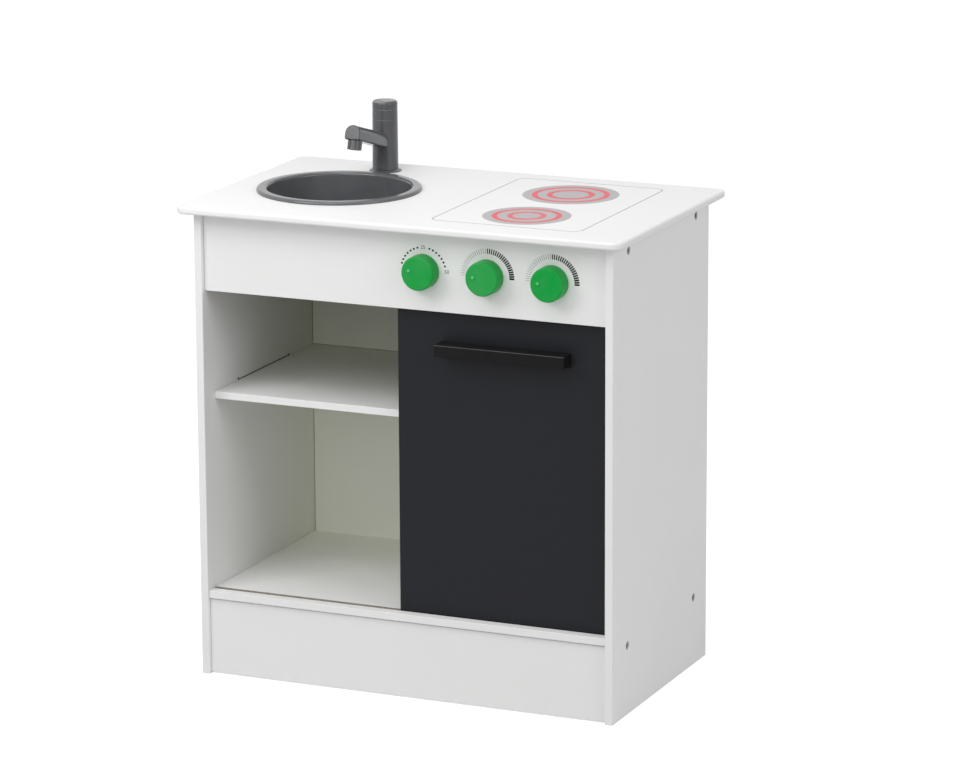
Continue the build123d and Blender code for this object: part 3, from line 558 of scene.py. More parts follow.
# %% White painted boards
def build_white_board():
    """White lacquer with painted light inside the cabinet, raw where it is cut, painted shade in
    the slots.
    """
    material = empty_material("white_lacquer")
    tree = material.node_tree
    x, y, z = object_axes(tree)
    # Below the shelf the inside colour is painted lighter, for the brighter light there.
    low = calculate(tree, "LESS_THAN", z, shelf_low.z + skin)
    inner = mix_colours(tree, low, painted_bounce_white, painted_bright_white_low)
    base = mix_colours(tree, painted_bounce_depth(tree, x, y, z), white, inner)
    paint = use_group(tree, paint_film, {"Colour": base, "Tone": 0.03, "Gloss": 0.5, "Nibs": 0.35})
    raw = use_group(tree, pressed_fibre, {"Light": raw_light, "Dark": raw_dark})
    bare = raw_cuts(tree, x, y, z)
    cut = mix_colours(tree, bare, paint.outputs["Colour"], raw.outputs["Colour"])
    slot_shade = calculate(tree, "MULTIPLY", painted_slot_shade(tree, x, y, z), slot_shade_strength)
    colour = mix_colours(tree, slot_shade, cut, painted_joint_shade)
    rough = calculate(tree, "MULTIPLY_ADD", bare, raw_dullness, paint.outputs["Roughness"])
    return finish_material(
        material,
        colour,
        rough,
        paint.outputs["Height"],
        bump_depth=0.012 * MM,
        Specular_IOR_Level=0.35,
    )


white_board = build_white_board()
white_names = (
    "worktop",
    "left_side_panel",
    "right_side_panel",
    "bottom_board",
    "shelf",
    "plinth",
    "fascia",
)
dress(white_board, *white_names)
print("white boards:", len(white_names))

# %% [markdown]
# The back board is thin hardboard. Only the side that faces the inside is painted, and its back is
# bare brown board with the small square mesh that the press leaves. A sine wave in X times one in Z
# is the simplest such mesh. Its painted side holds painted light: a warm tint for the light bounced
# about inside, and a lighter colour below the shelf for the brighter light there. A thin dark line
# of painted shade lies where it meets the side panels and the shelf.

# %% Back board
hardboard_light = (0.34, 0.225, 0.13, 1.0)
hardboard_dark = (0.2, 0.125, 0.07, 1.0)
# The front's colours are painted light: a warm tint for bounced light, and lighter below the shelf.
painted_bounce_back = (0.81, 0.826, 0.72, 1.0)
painted_bright_back_low = (0.93, 0.947, 0.85, 1.0)
mesh_pitch = 1.6 * MM
mesh_relief = 1.6
joint = 0.8 * MM
joint_shade_strength = 0.6
bare_dullness = 0.2


def build_back_board():
    """Thin paint in front, with painted light and painted shade at the joints, and bare hardboard
    with a pressed mesh behind.
    """
    material = empty_material("hardboard")
    tree = material.node_tree
    x, y, z = object_axes(tree)
    rear = calculate(tree, "GREATER_THAN", y, back_high.y - skin)
    low = calculate(tree, "LESS_THAN", z, shelf_low.z)
    painted_light_coat = mix_colours(tree, low, painted_bounce_back, painted_bright_back_low)
    paint = use_group(
        tree, paint_film, {"Colour": painted_light_coat, "Tone": 0.05, "Gloss": 0.55, "Nibs": 0.4}
    )
    aside = calculate(tree, "ABSOLUTE", x)
    # A thin dark line of painted shade where the back board meets the side panels and the shelf.
    beside = calculate(tree, "GREATER_THAN", aside, inner_face - joint)
    above = within(tree, z, shelf_high.z, shelf_high.z + joint)
    line = calculate(tree, "MULTIPLY", calculate(tree, "MAXIMUM", beside, above), joint_shade_strength)
    painted = mix_colours(tree, line, paint.outputs["Colour"], painted_joint_shade)
    bare = use_group(tree, pressed_fibre, {"Light": hardboard_light, "Dark": hardboard_dark})
    waves = [
        calculate(tree, "SINE", calculate(tree, "MULTIPLY", along, 2 * pi / mesh_pitch))
        for along in (x, z)
    ]
    pressed = remap(tree, all_of(tree, *waves), -1.0, 1.0, 0.0, 1.0)
    rear_height = calculate(tree, "MULTIPLY_ADD", pressed, mesh_relief, bare.outputs["Height"])
    colour = mix_colours(tree, rear, painted, bare.outputs["Colour"])
    heights = {0: rear, 2: paint.outputs["Height"], 3: rear_height}
    height = add_node(tree, "ShaderNodeMix", heights).outputs[0]
    rough = calculate(tree, "MULTIPLY_ADD", rear, bare_dullness, paint.outputs["Roughness"])
    return finish_material(material, colour, rough, height, bump_depth=0.04 * MM)


dress(build_back_board(), "back_board")
print("back board has two faces")

# %% [markdown]
# The battens and the door rail lie along different axes. Their coordinates are turned and
# squeezed by a Mapping node, so that the grain runs along each stick.

# %% Softwood sticks
early_wood = (0.66, 0.47, 0.27, 1.0)
late_wood = (0.50, 0.31, 0.15, 1.0)
grain_squeeze = 0.06


def build_stick(name, along):
    """Planed softwood with its grain along X or Y."""
    material = empty_material(name)
    tree = material.node_tree
    place = object_place(tree)
    turn = (0.0, 0.0, radians(90)) if along == "X" else (0.0, 0.0, 0.0)
    mapped = add_node(
        tree,
        "ShaderNodeMapping",
        {"Vector": place, "Rotation": turn, "Scale": (1.0, grain_squeeze, 1.0)},
    )
    wood = use_group(
        tree,
        softwood,
        {"Vector": mapped.outputs["Vector"], "Early": early_wood, "Late": late_wood},
    )
    colour, rough, height = wood.outputs
    return finish_material(material, colour, rough, height, bump_depth=0.03 * MM)


battens = [f"{side}_{level}_batten" for side in ("left", "right") for level in ("top", "bottom")]
dress(build_stick("softwood_along_y", "Y"), *battens)
dress(build_stick("softwood_along_x", "X"), "door_rail", "dowels")
print("battens, rail and dowels are wood")

# %% [markdown]
# ## Door
#
# The door is a writing board: thin fibreboard with a charcoal paint that takes chalk. It is
# nearly matt, with a very fine tooth. Wiping leaves a very faint haze in long soft strokes, made
# here by a noise that is stretched and turned, and its edges are rubbed a little paler.

# %% Chalkboard paint
charcoal = (0.0125, 0.0132, 0.0167, 1.0)
chalk_haze = (0.5, 0.5, 0.5, 1.0)
rubbed_charcoal = (0.32, 0.30, 0.28, 1.0)
haze_share = 0.0035
streak_scale, tooth_scale = 11.0, 2600.0
streak_span = (0.42, 0.72)
matt_roughness = (0.52, 0.6)
wiping_turn = radians(24)
wiping_stretch = 5.0


def build_chalkboard():
    """Charcoal writing-board paint with a faint wiped haze and rubbed edges."""
    material = empty_material("writing_board")
    tree = material.node_tree
    place = object_place(tree)
    strokes = add_node(
        tree,
        "ShaderNodeMapping",
        {"Vector": place, "Rotation": (0.0, wiping_turn, 0.0), "Scale": (1.0, 1.0, wiping_stretch)},
    )
    streaks = noise(tree, strokes.outputs["Vector"], streak_scale, 5.0, 0.6)
    wiped = remap(tree, streaks, *streak_span, 0.0, 1.0)
    haze = calculate(tree, "MULTIPLY", wiped, haze_share)
    hazed = mix_colours(tree, haze, charcoal, chalk_haze)
    rubbed = use_group(tree, edge_wear, {"Width": 0.7 * MM, "Breakup": 130.0, "Amount": 0.12})
    colour = mix_colours(tree, rubbed.outputs["Mask"], hazed, rubbed_charcoal)
    tooth = noise(tree, place, tooth_scale, 2.0)
    dull = remap(tree, wiped, 0.0, 1.0, *matt_roughness)
    return finish_material(
        material, colour, dull, tooth, bump_depth=0.02 * MM, Specular_IOR_Level=0.17
    )


dress(build_chalkboard(), "door_panel")
print("door has writing-board paint")

# %% [markdown]
# ## Plastics
#
# The pull, the sink and tap and the knobs are moulded from coloured plastic. They differ in
# colour, gloss and grain, so one function makes all of them from the shared moulded skin and
# the shared edge wear.

# %% Moulded plastics
edge_paleness = 0.3
edge_grey = 0.6


def build_plastic(
    name, colour, gloss, grain, depth, worn, specular=0.5, drift=0.35, highlight_place=None, highlight_colour=None
):
    """Moulded plastic of one colour with a fine grain and slightly paler edges.

    Grain is its features a metre and depth its height. Worn is the strength of the pale edges and
    drift that of the uneven colour. The last two give the mask of a place and the colour of a
    highlight painted there.
    """
    material = empty_material(name)
    tree = material.node_tree
    moulded = use_group(
        tree, moulded_skin, {"Colour": colour, "Gloss": gloss, "Grain": grain, "Drift": drift}
    )
    edges = use_group(tree, edge_wear, {"Width": 0.8 * MM, "Breakup": 220.0, "Amount": worn})
    paler = tuple(value + edge_paleness * (edge_grey - value) for value in colour[:3]) + (1.0,)
    final = mix_colours(tree, edges.outputs["Mask"], moulded.outputs["Colour"], paler)
    # A highlight is painted where this mask is 1.
    if highlight_place is not None:
        final = mix_colours(tree, highlight_place(tree, *object_axes(tree)), final, highlight_colour)
    return finish_material(
        material,
        final,
        moulded.outputs["Roughness"],
        moulded.outputs["Height"],
        bump_depth=depth,
        Specular_IOR_Level=specular,
    )


print("plastics take their colour, gloss and grain from their own call")

# %% [markdown]
# The pull is black and satin. Its front upper edge catches the light, and a thin paler strip along
# that edge is a painted highlight. The strip is a mask from the pull's own box.

# %% Black pull
pull_low, pull_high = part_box("door_pull")
highlight_width = 0.55 * MM


def pull_edge_highlight(tree, x, y, z):
    """1 along the front upper edge of the pull, where a highlight is painted."""
    high = calculate(tree, "GREATER_THAN", z, pull_high.z - highlight_width)
    return all_of(tree, high, calculate(tree, "LESS_THAN", y, pull_low.y + highlight_width))


black_plastic = build_plastic(
    "black_moulding",
    (0.0100, 0.0102, 0.0106, 1.0),
    gloss=0.36,
    grain=1900.0,
    depth=0.01 * MM,
    worn=0.05,
    specular=0.06,
    drift=0.04,
    highlight_place=pull_edge_highlight,
    highlight_colour=(0.10, 0.10, 0.11, 1.0),
)
dress(black_plastic, "door_pull")
# The height printed here is the top of the painted highlight.
print("pull:", black_plastic.name, "rubbed up to", round(pull_high.z, 4))

# %% [markdown]
# Sink and tap are glossy grey, the tap a little darker. Two seams show on the tap, where its ring
# meets the column below and the cap above, and the light that their rims catch is painted as thin
# pale lines. The lines lie at the heights of the seams and only on the column, since the spout
# sticks out at the same height.

# %% Grey sink and tap
seam_width = 0.45 * MM
seam_heights = (0.5560, 0.5668)
column_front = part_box("tap_handle")[0].y


def tap_seam_highlights(tree, x, y, z):
    """1 at the lower and the upper end of the tap's ring, where highlights are painted, and 0 out
    on the spout.
    """
    lower, upper = [
        within(tree, z, height - seam_width, height + seam_width) for height in seam_heights
    ]
    on_column = calculate(tree, "GREATER_THAN", y, column_front - skin)
    return all_of(tree, calculate(tree, "MAXIMUM", lower, upper), on_column)


sink_plastic = build_plastic(
    "sink_moulding",
    (0.088, 0.091, 0.098, 1.0),
    gloss=0.17,
    grain=1400.0,
    depth=0.006 * MM,
    worn=0.1,
)
tap_plastic = build_plastic(
    "tap_moulding",
    (0.056, 0.059, 0.064, 1.0),
    gloss=0.16,
    grain=1400.0,
    depth=0.006 * MM,
    worn=0.3,
    highlight_place=tap_seam_highlights,
    highlight_colour=(0.17, 0.175, 0.18, 1.0),
)
tap_parts = ("foot", "spout", "nozzle", "handle", "cap", "washer", "nut")
dress(sink_plastic, "sink_bowl")
dress(tap_plastic, *[f"tap_{part}" for part in tap_parts])
print("sink and tap:", sink_plastic.name, tap_plastic.name, "seams at", seam_heights)

# %% [markdown]
# The knobs are satin green. A small pip on each shows where it points, and a paler top on it is a
# painted highlight. The pip is the foremost part of a knob, so a plane just behind its top is mask
# enough.
# The click rings inside the knobs are plain pale plastic.

# %% Green knobs and pale click rings
knob_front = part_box("knob_1")[0].y
pip_height = 0.75 * MM


def knob_pip_highlight(tree, x, y, z):
    """1 on the top of the pip, the foremost part of a knob, where a highlight is painted."""
    return calculate(tree, "LESS_THAN", y, knob_front + pip_height)


green_plastic = build_plastic(
    "green_moulding",
    (0.002, 0.325, 0.048, 1.0),
    gloss=0.32,
    grain=1700.0,
    depth=0.008 * MM,
    worn=0.03,
    specular=0.08,
    highlight_place=knob_pip_highlight,
    highlight_colour=(0.09, 0.55, 0.18, 1.0),
)
pale_plastic = build_plastic(
    "pale_moulding",
    (0.72, 0.71, 0.66, 1.0),
    gloss=0.5,
    grain=1500.0,
    depth=0.02 * MM,
    worn=0.0,
)
dress(green_plastic, "knob_1", "knob_2", "knob_3")
dress(pale_plastic, "click_rings")
print("knobs and rings:", green_plastic.name, pale_plastic.name)

# %% [markdown]
# ## Zinc-plated steel
#
# Screws, nails and washers are zinc plated. Plating is a metal with a slightly uneven,
# spangled shine and faint turning marks, so the roughness varies over a fine Voronoi pattern.
# The screws in the side panels get a darker colour, which is painted shade from their countersinks.

# %% Zinc plating
spangle_cells = 900.0
spangle_roughness = (0.24, 0.4)
tint_scale = 300.0


def build_zinc(name, dark, light):
    """Zinc-plated steel with a fine spangle between two tones."""
    material = empty_material(name)
    tree = material.node_tree
    place = object_place(tree)
    cells = add_node(tree, "ShaderNodeTexVoronoi", {"Vector": place, "Scale": spangle_cells})
    spangle = add_node(tree, "ShaderNodeSeparateColor", {0: cells.outputs["Color"]}).outputs[0]
    clouds = noise(tree, place, tint_scale, 3.0)
    rough = remap(tree, spangle, 0.0, 1.0, *spangle_roughness)
    tint = remap(tree, clouds, *noise_span, 0.0, 1.0)
    colour = mix_colours(tree, tint, dark, light)
    return finish_material(material, colour, rough, clouds, bump_depth=0.02 * MM, Metallic=1.0)


zinc_plate = build_zinc("zinc_plate", (0.50, 0.51, 0.53, 1.0), (0.64, 0.64, 0.62, 1.0))
# The side screws' darker zinc is painted shade.
zinc_painted_shade = build_zinc("zinc_painted_shade", (0.17, 0.185, 0.185, 1.0), (0.32, 0.335, 0.33, 1.0))
dress(zinc_painted_shade, "side_screws")
dress(
    zinc_plate,
    "worktop_screws",
    "bottom_board_screws",
    "rail_screws",
    "back_nails",
    "pull_screws",
    "pivot_screw",
    *[f"{kind}_{number}" for kind in ("knob_screw", "knob_washer") for number in (1, 2, 3)],
)
print("metal:", zinc_plate.name)

# %% [markdown]
# ## Surfaces from grids of points
#
# The new pieces are surfaces: a short section carried along a path, or round an axis. In both
# cases every point is the path's point plus a distance outwards plus a height, which numpy works
# out for all points at once. The grid of points then becomes quads, and where a whole column
# falls on one point, as at the middle of a disc, the doubles are merged and close the surface.

# %% Sections, paths and directions
def full_turn(count):
    """Angles in equal steps round a full turn."""
    return np.linspace(0.0, 2 * pi, count, endpoint=False)


def flat_directions(angle):
    """Unit vectors in the plane of the worktop: the cosine along X and the sine along Y."""
    return np.stack([np.cos(angle), np.sin(angle), np.zeros(angle.size)], axis=1)


def upright_directions(angle):
    """Unit vectors in the plane of the fascia: the cosine along X and the sine along Z."""
    return flat_directions(angle)[:, [0, 2, 1]]


def carry_section(path, outward, up, section):
    """Points of a section along a path: path + offset * outward + height * up."""
    offset = section[:, 0][None, :, None]
    height = section[:, 1][None, :, None]
    return path[:, None, :] + offset * outward[:, None, :] + height * np.asarray(up, float)


print("a quarter turn points along", flat_directions(np.array([pi / 2]))[0].round(3))

# %% Grid of points to a closed mesh
merge_distance = 0.001 * MM


def grid_faces(rows, columns):
    """Corner numbers of the quads of a grid that is closed along its rows, not its columns."""
    row, column = np.meshgrid(np.arange(rows), np.arange(columns - 1), indexing="ij")
    following = (row + 1) % rows
    corners = (
        row * columns + column,
        row * columns + column + 1,
        following * columns + column + 1,
        following * columns + column,
    )
    return np.stack(corners, axis=-1).reshape(-1, 4)


def close_mesh(work, mesh):
    """Merges doubled points, turns all faces outwards and hands the result to the mesh."""
    bmesh.ops.remove_doubles(work, verts=work.verts, dist=merge_distance)
    bmesh.ops.recalc_face_normals(work, faces=work.faces)
    work.to_mesh(mesh)
    work.free()


def make_piece(name, patches, material, body, smooth_angle=radians(35), values=None):
    """A piece of equal patches, an array (patch, row, column, 3), each with its own strength."""
    patches = np.asarray(patches, float)
    count, rows, columns, _ = patches.shape
    faces = grid_faces(rows, columns)
    first = np.arange(count)[:, None, None] * rows * columns
    faces = (faces[None] + first).reshape(-1, 4)
    mesh = bpy.data.meshes.new(name)
    mesh.from_pydata(patches.reshape(-1, 3).tolist(), [], faces.tolist())
    if values is not None:
        attribute = mesh.attributes.new("strength", "FLOAT", "POINT")
        attribute.data.foreach_set("value", np.repeat(values, rows * columns).astype(np.float32))
    work = bmesh.new()
    work.from_mesh(mesh)
    close_mesh(work, mesh)
    mesh.shade_smooth()
    mesh.set_sharp_from_angle(angle=smooth_angle)
    mesh.materials.append(material)
    piece = new_object(name, mesh)
    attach(piece, body)
    print(f"{name}: {count} patch(es), {len(mesh.polygons)} faces")
    return piece


print("a closed grid of 4 rows and 3 columns has", len(grid_faces(4, 3)), "faces")

# %% [markdown]
# ## Printed hotplates
#
# The hob is printed on the worktop: a thin grey frame with round corners and two grey plates,
# each with two glowing rings. Print could be a picture mapped on the board, but then its sharp
# edges would depend on the picture's size. As films of a few hundredths of a millimetre they
# stay sharp at any distance. Each film starts just under the board's surface, so no light gets
# between them.

# %% Inks
gloss_spread = 0.05
screen_scale, sheen_scale = 420.0, 60.0


def build_ink(name, colour, gloss, cover=0.07, fade=None, specular=0.2):
    """Screen-printed ink, uneven by up to cover; fade is its colour where the strength is 0."""
    material = empty_material(name)
    tree = material.node_tree
    place = object_place(tree)
    screen = remap(tree, noise(tree, place, screen_scale, 3.0, 0.6), 0.35, 0.65, 0.0, cover)
    uneven = mix_colours(tree, screen, colour, white)
    if fade is not None:
        strength = add_node(tree, "ShaderNodeAttribute", attribute_name="strength").outputs["Fac"]
        uneven = mix_colours(tree, strength, fade, uneven)
    clouds = noise(tree, place, sheen_scale, 3.0)
    rough = remap(tree, clouds, *noise_span, gloss - gloss_spread, gloss + gloss_spread)
    return finish_material(
        material, uneven, rough, screen, bump_depth=0.01 * MM, Specular_IOR_Level=specular
    )


grey_ink = build_ink("grey_ink", (0.42, 0.405, 0.41, 1.0), gloss=0.45)
red_ink = build_ink("red_ink", (0.72, 0.09, 0.12, 1.0), gloss=0.45, cover=0.04)
line_ink = build_ink("line_ink", (0.12, 0.12, 0.13, 1.0), gloss=0.45)
black_ink = build_ink(
    "black_ink",
    (0.004, 0.004, 0.005, 1.0),
    gloss=0.5,
    cover=0.008,
    fade=(0.36, 0.36, 0.36, 1.0),
    specular=0.05,
)
print("inks:", grey_ink.name, red_ink.name, line_ink.name, black_ink.name)

# %% Sizes of the printed hob
top = worktop_high.z
sunk = 0.02 * MM
plate_film = 0.03 * MM
ring_film = 0.06 * MM
hob_left, hob_right = 0.0234, 0.1867
hob_front, hob_back = -0.1125, 0.1230
hob_corner = 11.0 * MM
line_width = 0.9 * MM
plates = (
    {
        "name": "front",
        "centre": (0.1068, -0.0570),
        "radius": 45.0 * MM,
        "rings": ((14.5 * MM, 20.0 * MM), (30.0 * MM, 35.5 * MM)),
    },
    {
        "name": "rear",
        "centre": (0.1065, 0.0595),
        "radius": 50.0 * MM,
        "rings": ((19.0 * MM, 24.9 * MM), (34.5 * MM, 40.3 * MM)),
    },
)
print("hob from", (hob_left, hob_front), "to", (hob_right, hob_back))

# %% Thin films on the worktop
round_steps = 128
corner_steps = 12


def film_section(inner, outer, thickness):
    """A flat closed strip from the inner to the outer distance, sunk a little at its foot."""
    return np.array([
        (inner, -sunk),
        (inner, thickness),
        (outer, thickness),
        (outer, -sunk),
        (inner, -sunk),
    ])


def rounded_frame(left, right, front, back, corner):
    """Corner centres and outward directions of a rectangle with round corners, a quarter each."""
    quarter = np.linspace(0.0, pi / 2, corner_steps)
    angle = (quarter[None, :] + np.arange(4)[:, None] * pi / 2).ravel()
    right_side = np.repeat([True, False, False, True], corner_steps)
    back_side = np.repeat([True, True, False, False], corner_steps)
    centre_x = np.where(right_side, right - corner, left + corner)
    centre_y = np.where(back_side, back - corner, front + corner)
    centres = np.stack([centre_x, centre_y, np.full(angle.size, top)], axis=1)
    return centres, flat_directions(angle)


def round_film(centre, section):
    """A section carried round a point of the worktop."""
    middle = np.tile([*centre, top], (round_steps, 1))
    return carry_section(middle, flat_directions(full_turn(round_steps)), (0, 0, 1), section)


print("a round film has", round_steps, "steps")

# %% Hob frame, plates and rings
frame_path, frame_outward = rounded_frame(hob_left, hob_right, hob_front, hob_back, hob_corner)
frame_section = film_section(hob_corner - line_width, hob_corner, plate_film)
frame_film = carry_section(frame_path, frame_outward, (0, 0, 1), frame_section)
make_piece("hob_frame", [frame_film], line_ink, "cabinet")
for plate in plates:
    disc = round_film(plate["centre"], film_section(0.0, plate["radius"], plate_film)[:-1])
    make_piece(f"hob_plate_{plate['name']}", [disc], grey_ink, "cabinet")
    rings = [
        round_film(plate["centre"], film_section(inner, outer, ring_film))
        for inner, outer in plate["rings"]
    ]
    make_piece(f"hob_rings_{plate['name']}", rings, red_ink, "cabinet")


# %% [markdown]
# ## Dials
#
# Round each knob a scale is printed on the fascia. The first is a timer with dots and the
# numbers 0, 25 and 50. The other two have a stroke every five degrees: thin and pale ones on the
# left, and on the right black ones that grow ever broader. A stroke is a short bar: its two ends
# are drawn together to a point in the bar's end face, which closes the film without extra caps.

# %% Middle of a dial
dial_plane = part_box("fascia")[0].y
print_shift = (0.45 * MM, -0.3 * MM)


def dial_centre(number):
    """A knob's middle in X and Z, on the face of the fascia, plus the small shift of the print."""
    low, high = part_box(f"knob_{number}")
    x = (low.x + high.x) / 2 + print_shift[0]
    z = (low.z + high.z) / 2 + print_shift[1]
    return np.array([x, dial_plane, z])


print("first dial at", dial_centre(1).round(4))

# %% Strokes of two dials
dial_film = 0.04 * MM
stroke_count = 37
stroke_inner = 23.7 * MM
stroke_outer = 29.0 * MM
black_share = 0.5
stroke_shares = np.array([0.0, 0.49, black_share, 1.0])
stroke_widths = np.array([0.42, 0.66, 1.10, 1.82]) * MM
pale_stroke, black_stroke = 0.1, 1.0


def dial_strokes(centre):
    """Bars over the upper half circle, whose width grows in two straight lines with a step.

    A corner is the middle plus its reach along the radius, plus or minus half the width along
    the tangent, plus or minus half the thickness outwards.
    """
    share = np.linspace(0.0, 1.0, stroke_count)
    angle = pi * (1.0 - share)
    radial = upright_directions(angle)
    tangent = upright_directions(angle + pi / 2)
    width = np.interp(share, stroke_shares, stroke_widths)
    reach = np.array([stroke_inner, stroke_inner, stroke_outer, stroke_outer])
    spread = np.array([0.0, 1.0, 1.0, 0.0])
    side = np.array([-0.5, 0.5, 0.5, -0.5])
    lift = np.array([-0.5, -0.5, 0.5, 0.5])
    out = np.array([0.0, -1.0, 0.0])
    thickness = dial_film + sunk
    middle = centre + out * (dial_film - thickness / 2)
    across = width[:, None, None] * side[None, :, None] * spread[None, None, :]
    depth = thickness * lift[None, :, None] * spread[None, None, :]
    points = (
        middle
        + radial[:, None, None, :] * reach[None, None, :, None]
        + tangent[:, None, None, :] * across[..., None]
        + out * depth[..., None]
    )
    return points, share


for number in (2, 3):
    strokes, share = dial_strokes(dial_centre(number))
    strength = np.where(share < black_share, pale_stroke, black_stroke)
    make_piece(f"dial_strokes_{number}", strokes, black_ink, "cabinet", values=strength)


# %% Dots of the timer
dot_radius = 1.08 * MM
dot_circle = 24.6 * MM
dot_steps = 20
dots_a_side = 7
left_dots = np.linspace(105.2, 163.7, dots_a_side)
right_dots = np.linspace(74.3, 16.6, dots_a_side)
dot_angles = np.radians(np.concatenate([left_dots, right_dots]))


def dial_dots(centre):
    """Low round dots on a circle: a flat section turned about each dot's middle."""
    ring = upright_directions(full_turn(dot_steps))
    section = film_section(0.0, dot_radius, dial_film)[:-1]
    dot = carry_section(np.zeros((dot_steps, 3)), ring, (0, -1, 0), section)
    places = upright_directions(dot_angles)
    return centre + places[:, None, None, :] * dot_circle + dot[None]


dots = dial_dots(dial_centre(1))
make_piece("dial_dots_1", dots, black_ink, "cabinet", values=np.ones(dot_angles.size))

# %% [markdown]
# Numbers are easiest as text. A text object is a flat curve in its own plane, so it is made a
# mesh first, and then moved, turned upright and scaled to the height of the print.

# %% Numbers of the timer
number_height = 3.8 * MM
number_strength = 0.75
text_half_depth = 0.5
number_places = (("0", 180.0, 22.6 * MM), ("25", 91.0, 24.8 * MM), ("50", 3.3, 25.7 * MM))


def number_mesh(text, centre, height):
    """A number of this height, upright on the fascia, with its middle at centre."""
    curve = bpy.data.curves.new("number", "FONT")
    curve.body = text
    curve.extrude = text_half_depth
    source = bpy.data.objects.new("number", curve)
    flat = bpy.data.meshes.new_from_object(source)
    bpy.data.objects.remove(source)
    bpy.data.curves.remove(curve)
    points = np.empty(len(flat.vertices) * 3, np.float32)
    flat.vertices.foreach_get("co", points)
    points = points.reshape(-1, 3).astype(float)
    points -= (points.min(0) + points.max(0)) / 2
    points[:, :2] *= height / np.ptp(points[:, 1])
    points[:, 2] *= dial_film + sunk
    upright = np.stack([points[:, 0], -points[:, 2], points[:, 1]], axis=1)
    middle = centre + np.array([0.0, -(dial_film - sunk) / 2, 0.0])
    flat.vertices.foreach_set("co", (upright + middle).astype(np.float32).ravel())
    flat.update()
    return flat


def dial_numbers(name, centre):
    """All numbers of a dial as one piece."""
    work = bmesh.new()
    for text, degrees, distance in number_places:
        way = np.array([cos(radians(degrees)), 0.0, sin(radians(degrees))])
        flat = number_mesh(text, centre + way * distance, number_height)
        work.from_mesh(flat)
        bpy.data.meshes.remove(flat)
    mesh = bpy.data.meshes.new(name)
    close_mesh(work, mesh)
    strength = mesh.attributes.new("strength", "FLOAT", "POINT")
    strength.data.foreach_set("value", np.full(len(mesh.vertices), number_strength, np.float32))
    mesh.materials.append(black_ink)
    piece = new_object(name, mesh)
    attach(piece, "cabinet")
    print(f"{name}: {len(mesh.polygons)} faces")


dial_numbers("dial_numbers_1", dial_centre(1))

# %% [markdown]
# ## Screws in the side panels
#
# Each side panel is held by four countersunk screws whose heads show. The cross in such a head
# is what catches the light, so these screws are made again with it. The head's face is a disc
# whose height is a function of place: it drops where a point lies in either bar of the cross,
# with sloping walls. Below the face come the cone, the shank and the tip.

# %% Cross in a screw head
shank_radius = 1.9 * MM
head_height = 2.416 * MM
screw_length = 21.0 * MM
tip_length = 2.5 * MM
cross_reach = 2.6 * MM
cross_half_width = 0.7 * MM
cross_depth = 1.7 * MM
cross_slope = 0.45 * MM
screw_columns = 96
face_rows = 30
face_round = 0.08 * MM
turn_step = 1.9


def cross_drop(x, y):
    """Depth of the cross: a smooth step, 3 t t - 2 t t t, of how far inside a bar a point lies."""
    bar_along = np.minimum(cross_reach - np.abs(x), cross_half_width - np.abs(y))
    bar_across = np.minimum(cross_half_width - np.abs(x), cross_reach - np.abs(y))
    inside = np.clip(np.maximum(bar_along, bar_across) / cross_slope + 0.5, 0.0, 1.0)
    return cross_depth * inside * inside * (3.0 - 2.0 * inside)


print("the cross is", round(cross_drop(0.0, 0.0) / MM, 2), "mm deep in its middle")

# %% Screws in their eight places
def screw_patch():
    """A screw along -Z with its head's face at 0: rows round the axis, columns down the side.

    X and Y are the radius times the cosine and the sine of the angle, and Z is the height less
    the depth of the cross.
    """
    angle = full_turn(screw_columns)
    face_radius = np.linspace(0.0, head_radius - face_round, face_rows)
    side = np.array([
        (head_radius, -face_round),
        (shank_radius, -head_height),
        (shank_radius, tip_length - screw_length),
        (0.0, -screw_length),
    ])
    radius = np.concatenate([face_radius, side[:, 0]])
    height = np.concatenate([np.zeros(face_rows), side[:, 1]])
    x = np.cos(angle)[:, None] * radius[None, :]
    y = np.sin(angle)[:, None] * radius[None, :]
    drop = np.zeros_like(x)
    drop[:, :face_rows] = cross_drop(x[:, :face_rows], y[:, :face_rows])
    return np.stack([x, y, height[None, :] - drop], axis=-1)


def stand_screw(patch, side, y, z, turn):
    """The patch turned about its axis, laid along X and moved to its hole."""
    spun_x = patch[..., 0] * cos(turn) - patch[..., 1] * sin(turn)
    spun_y = patch[..., 0] * sin(turn) + patch[..., 1] * cos(turn)
    face_x = screw_high.x if side > 0 else screw_low.x
    return np.stack([face_x + side * patch[..., 2], y + side * spun_x, z + spun_y], axis=-1)


def screw_places():
    """Side, Y and Z of each screw head, read from the corners of the CAD screws' box."""
    rows = (screw_low.y + head_radius, screw_high.y - head_radius)
    heights = (screw_low.z + head_radius, screw_high.z - head_radius)
    return [(side, y, z) for side in (-1, 1) for y in rows for z in heights]


one_screw = screw_patch()
screws = [
    stand_screw(one_screw, side, y, z, number * turn_step)
    for number, (side, y, z) in enumerate(screw_places())
]
side_screw_heads = make_piece(
    "side_screws_crossed", screws, zinc_painted_shade, "cabinet", smooth_angle=radians(30)
)
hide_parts("side_screws")

# %% [markdown]
# ## Floor and light
#
# The photograph is a cut-out on pure white. The floor is a pale plane with just enough of its own
# light for the camera that it reaches white, while the shadow under the cabinet stays visible.
# The world is white for the camera and for reflections, and a plain half-strength white for all
# other light. The object is lit by a soft lamp near by at the upper left in front, which gives the
# knobs their shadows, and by weaker ones that keep the inside, the right side and the top bright.

# %% White floor and world
floor_size = 24.0
floor_grey = (0.62, 0.62, 0.62, 1.0)
pure_white = (1.0, 1.0, 1.0, 1.0)
floor_glow = 0.68
world_light = 0.50


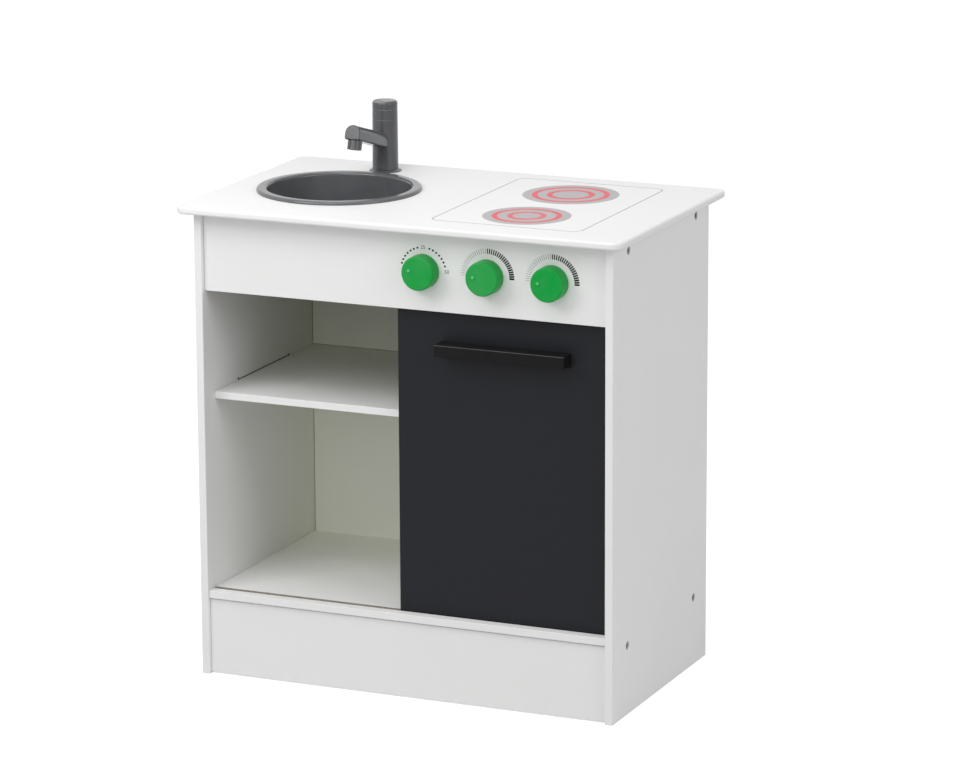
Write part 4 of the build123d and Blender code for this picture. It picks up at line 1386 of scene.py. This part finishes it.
def seen_directly(tree):
    """1 for camera, glossy and transmission rays, and 0 for rays that carry light."""
    path = add_node(tree, "ShaderNodeLightPath")
    first = calculate(
        tree, "MAXIMUM", path.outputs["Is Camera Ray"], path.outputs["Is Glossy Ray"]
    )
    return calculate(tree, "MAXIMUM", first, path.outputs["Is Transmission Ray"])


def build_floor():
    """A pale floor that reaches white for the camera and keeps the shadow."""
    material = empty_material("floor_paper")
    tree = material.node_tree
    paper = add_node(tree, "ShaderNodeBsdfDiffuse", {"Color": floor_grey})
    strength = calculate(tree, "MULTIPLY", seen_directly(tree), floor_glow)
    glow = add_node(tree, "ShaderNodeEmission", {"Color": pure_white, "Strength": strength})
    both = add_node(tree, "ShaderNodeAddShader", {0: paper.outputs[0], 1: glow.outputs[0]})
    add_node(tree, "ShaderNodeOutputMaterial", {"Surface": both.outputs[0]})
    mesh = bpy.data.meshes.new("floor")
    half = floor_size / 2
    corners = [(-half, -half, 0.0), (half, -half, 0.0), (half, half, 0.0), (-half, half, 0.0)]
    mesh.from_pydata(corners, [], [(0, 1, 2, 3)])
    mesh.materials.append(material)
    floor = new_object("floor", mesh)


def build_world(light_strength):
    """White where it is seen, and an even light of this strength elsewhere."""
    world = bpy.data.worlds.new("studio")
    world.use_nodes = True
    tree = world.node_tree
    tree.nodes.clear()
    levels = {0: seen_directly(tree), 2: light_strength, 3: 1.0}
    strength = add_node(tree, "ShaderNodeMix", levels).outputs[0]
    sky = add_node(tree, "ShaderNodeBackground", {"Color": pure_white, "Strength": strength})
    add_node(tree, "ShaderNodeOutputWorld", {"Surface": sky.outputs[0]})
    bpy.context.scene.world = world


build_floor()
build_world(world_light)
print("floor and world are white")

# %% Lamps
object_middle = Vector((0.0, 0.0, 0.3))


def add_lamp(name, azimuth, elevation, distance, size, level):
    """A square lamp that looks at the object from two angles in degrees and a distance.

    Level is how bright it makes white paper that faces it. The lamp's power for that is pi
    squared times the level times the square of the distance.
    """
    lamp = new_object(name, bpy.data.lights.new(name, "AREA"))
    lamp.data.size = size
    lamp.data.energy = pi * pi * level * distance * distance
    look_at(lamp, object_middle, azimuth, elevation, distance)


add_lamp("key_lamp", azimuth=-33.0, elevation=40.0, distance=1.25, size=0.5, level=0.27)
add_lamp("front_lamp", azimuth=5.0, elevation=25.0, distance=3.5, size=1.5, level=0.10)
add_lamp("high_lamp", azimuth=0.0, elevation=62.0, distance=2.5, size=1.0, level=0.14)
add_lamp("top_lamp", azimuth=0.0, elevation=85.0, distance=3.5, size=1.5, level=0.17)
add_lamp("right_lamp", azimuth=70.0, elevation=25.0, distance=3.5, size=1.5, level=0.17)
bpy.context.scene.view_settings.view_transform = "Standard"
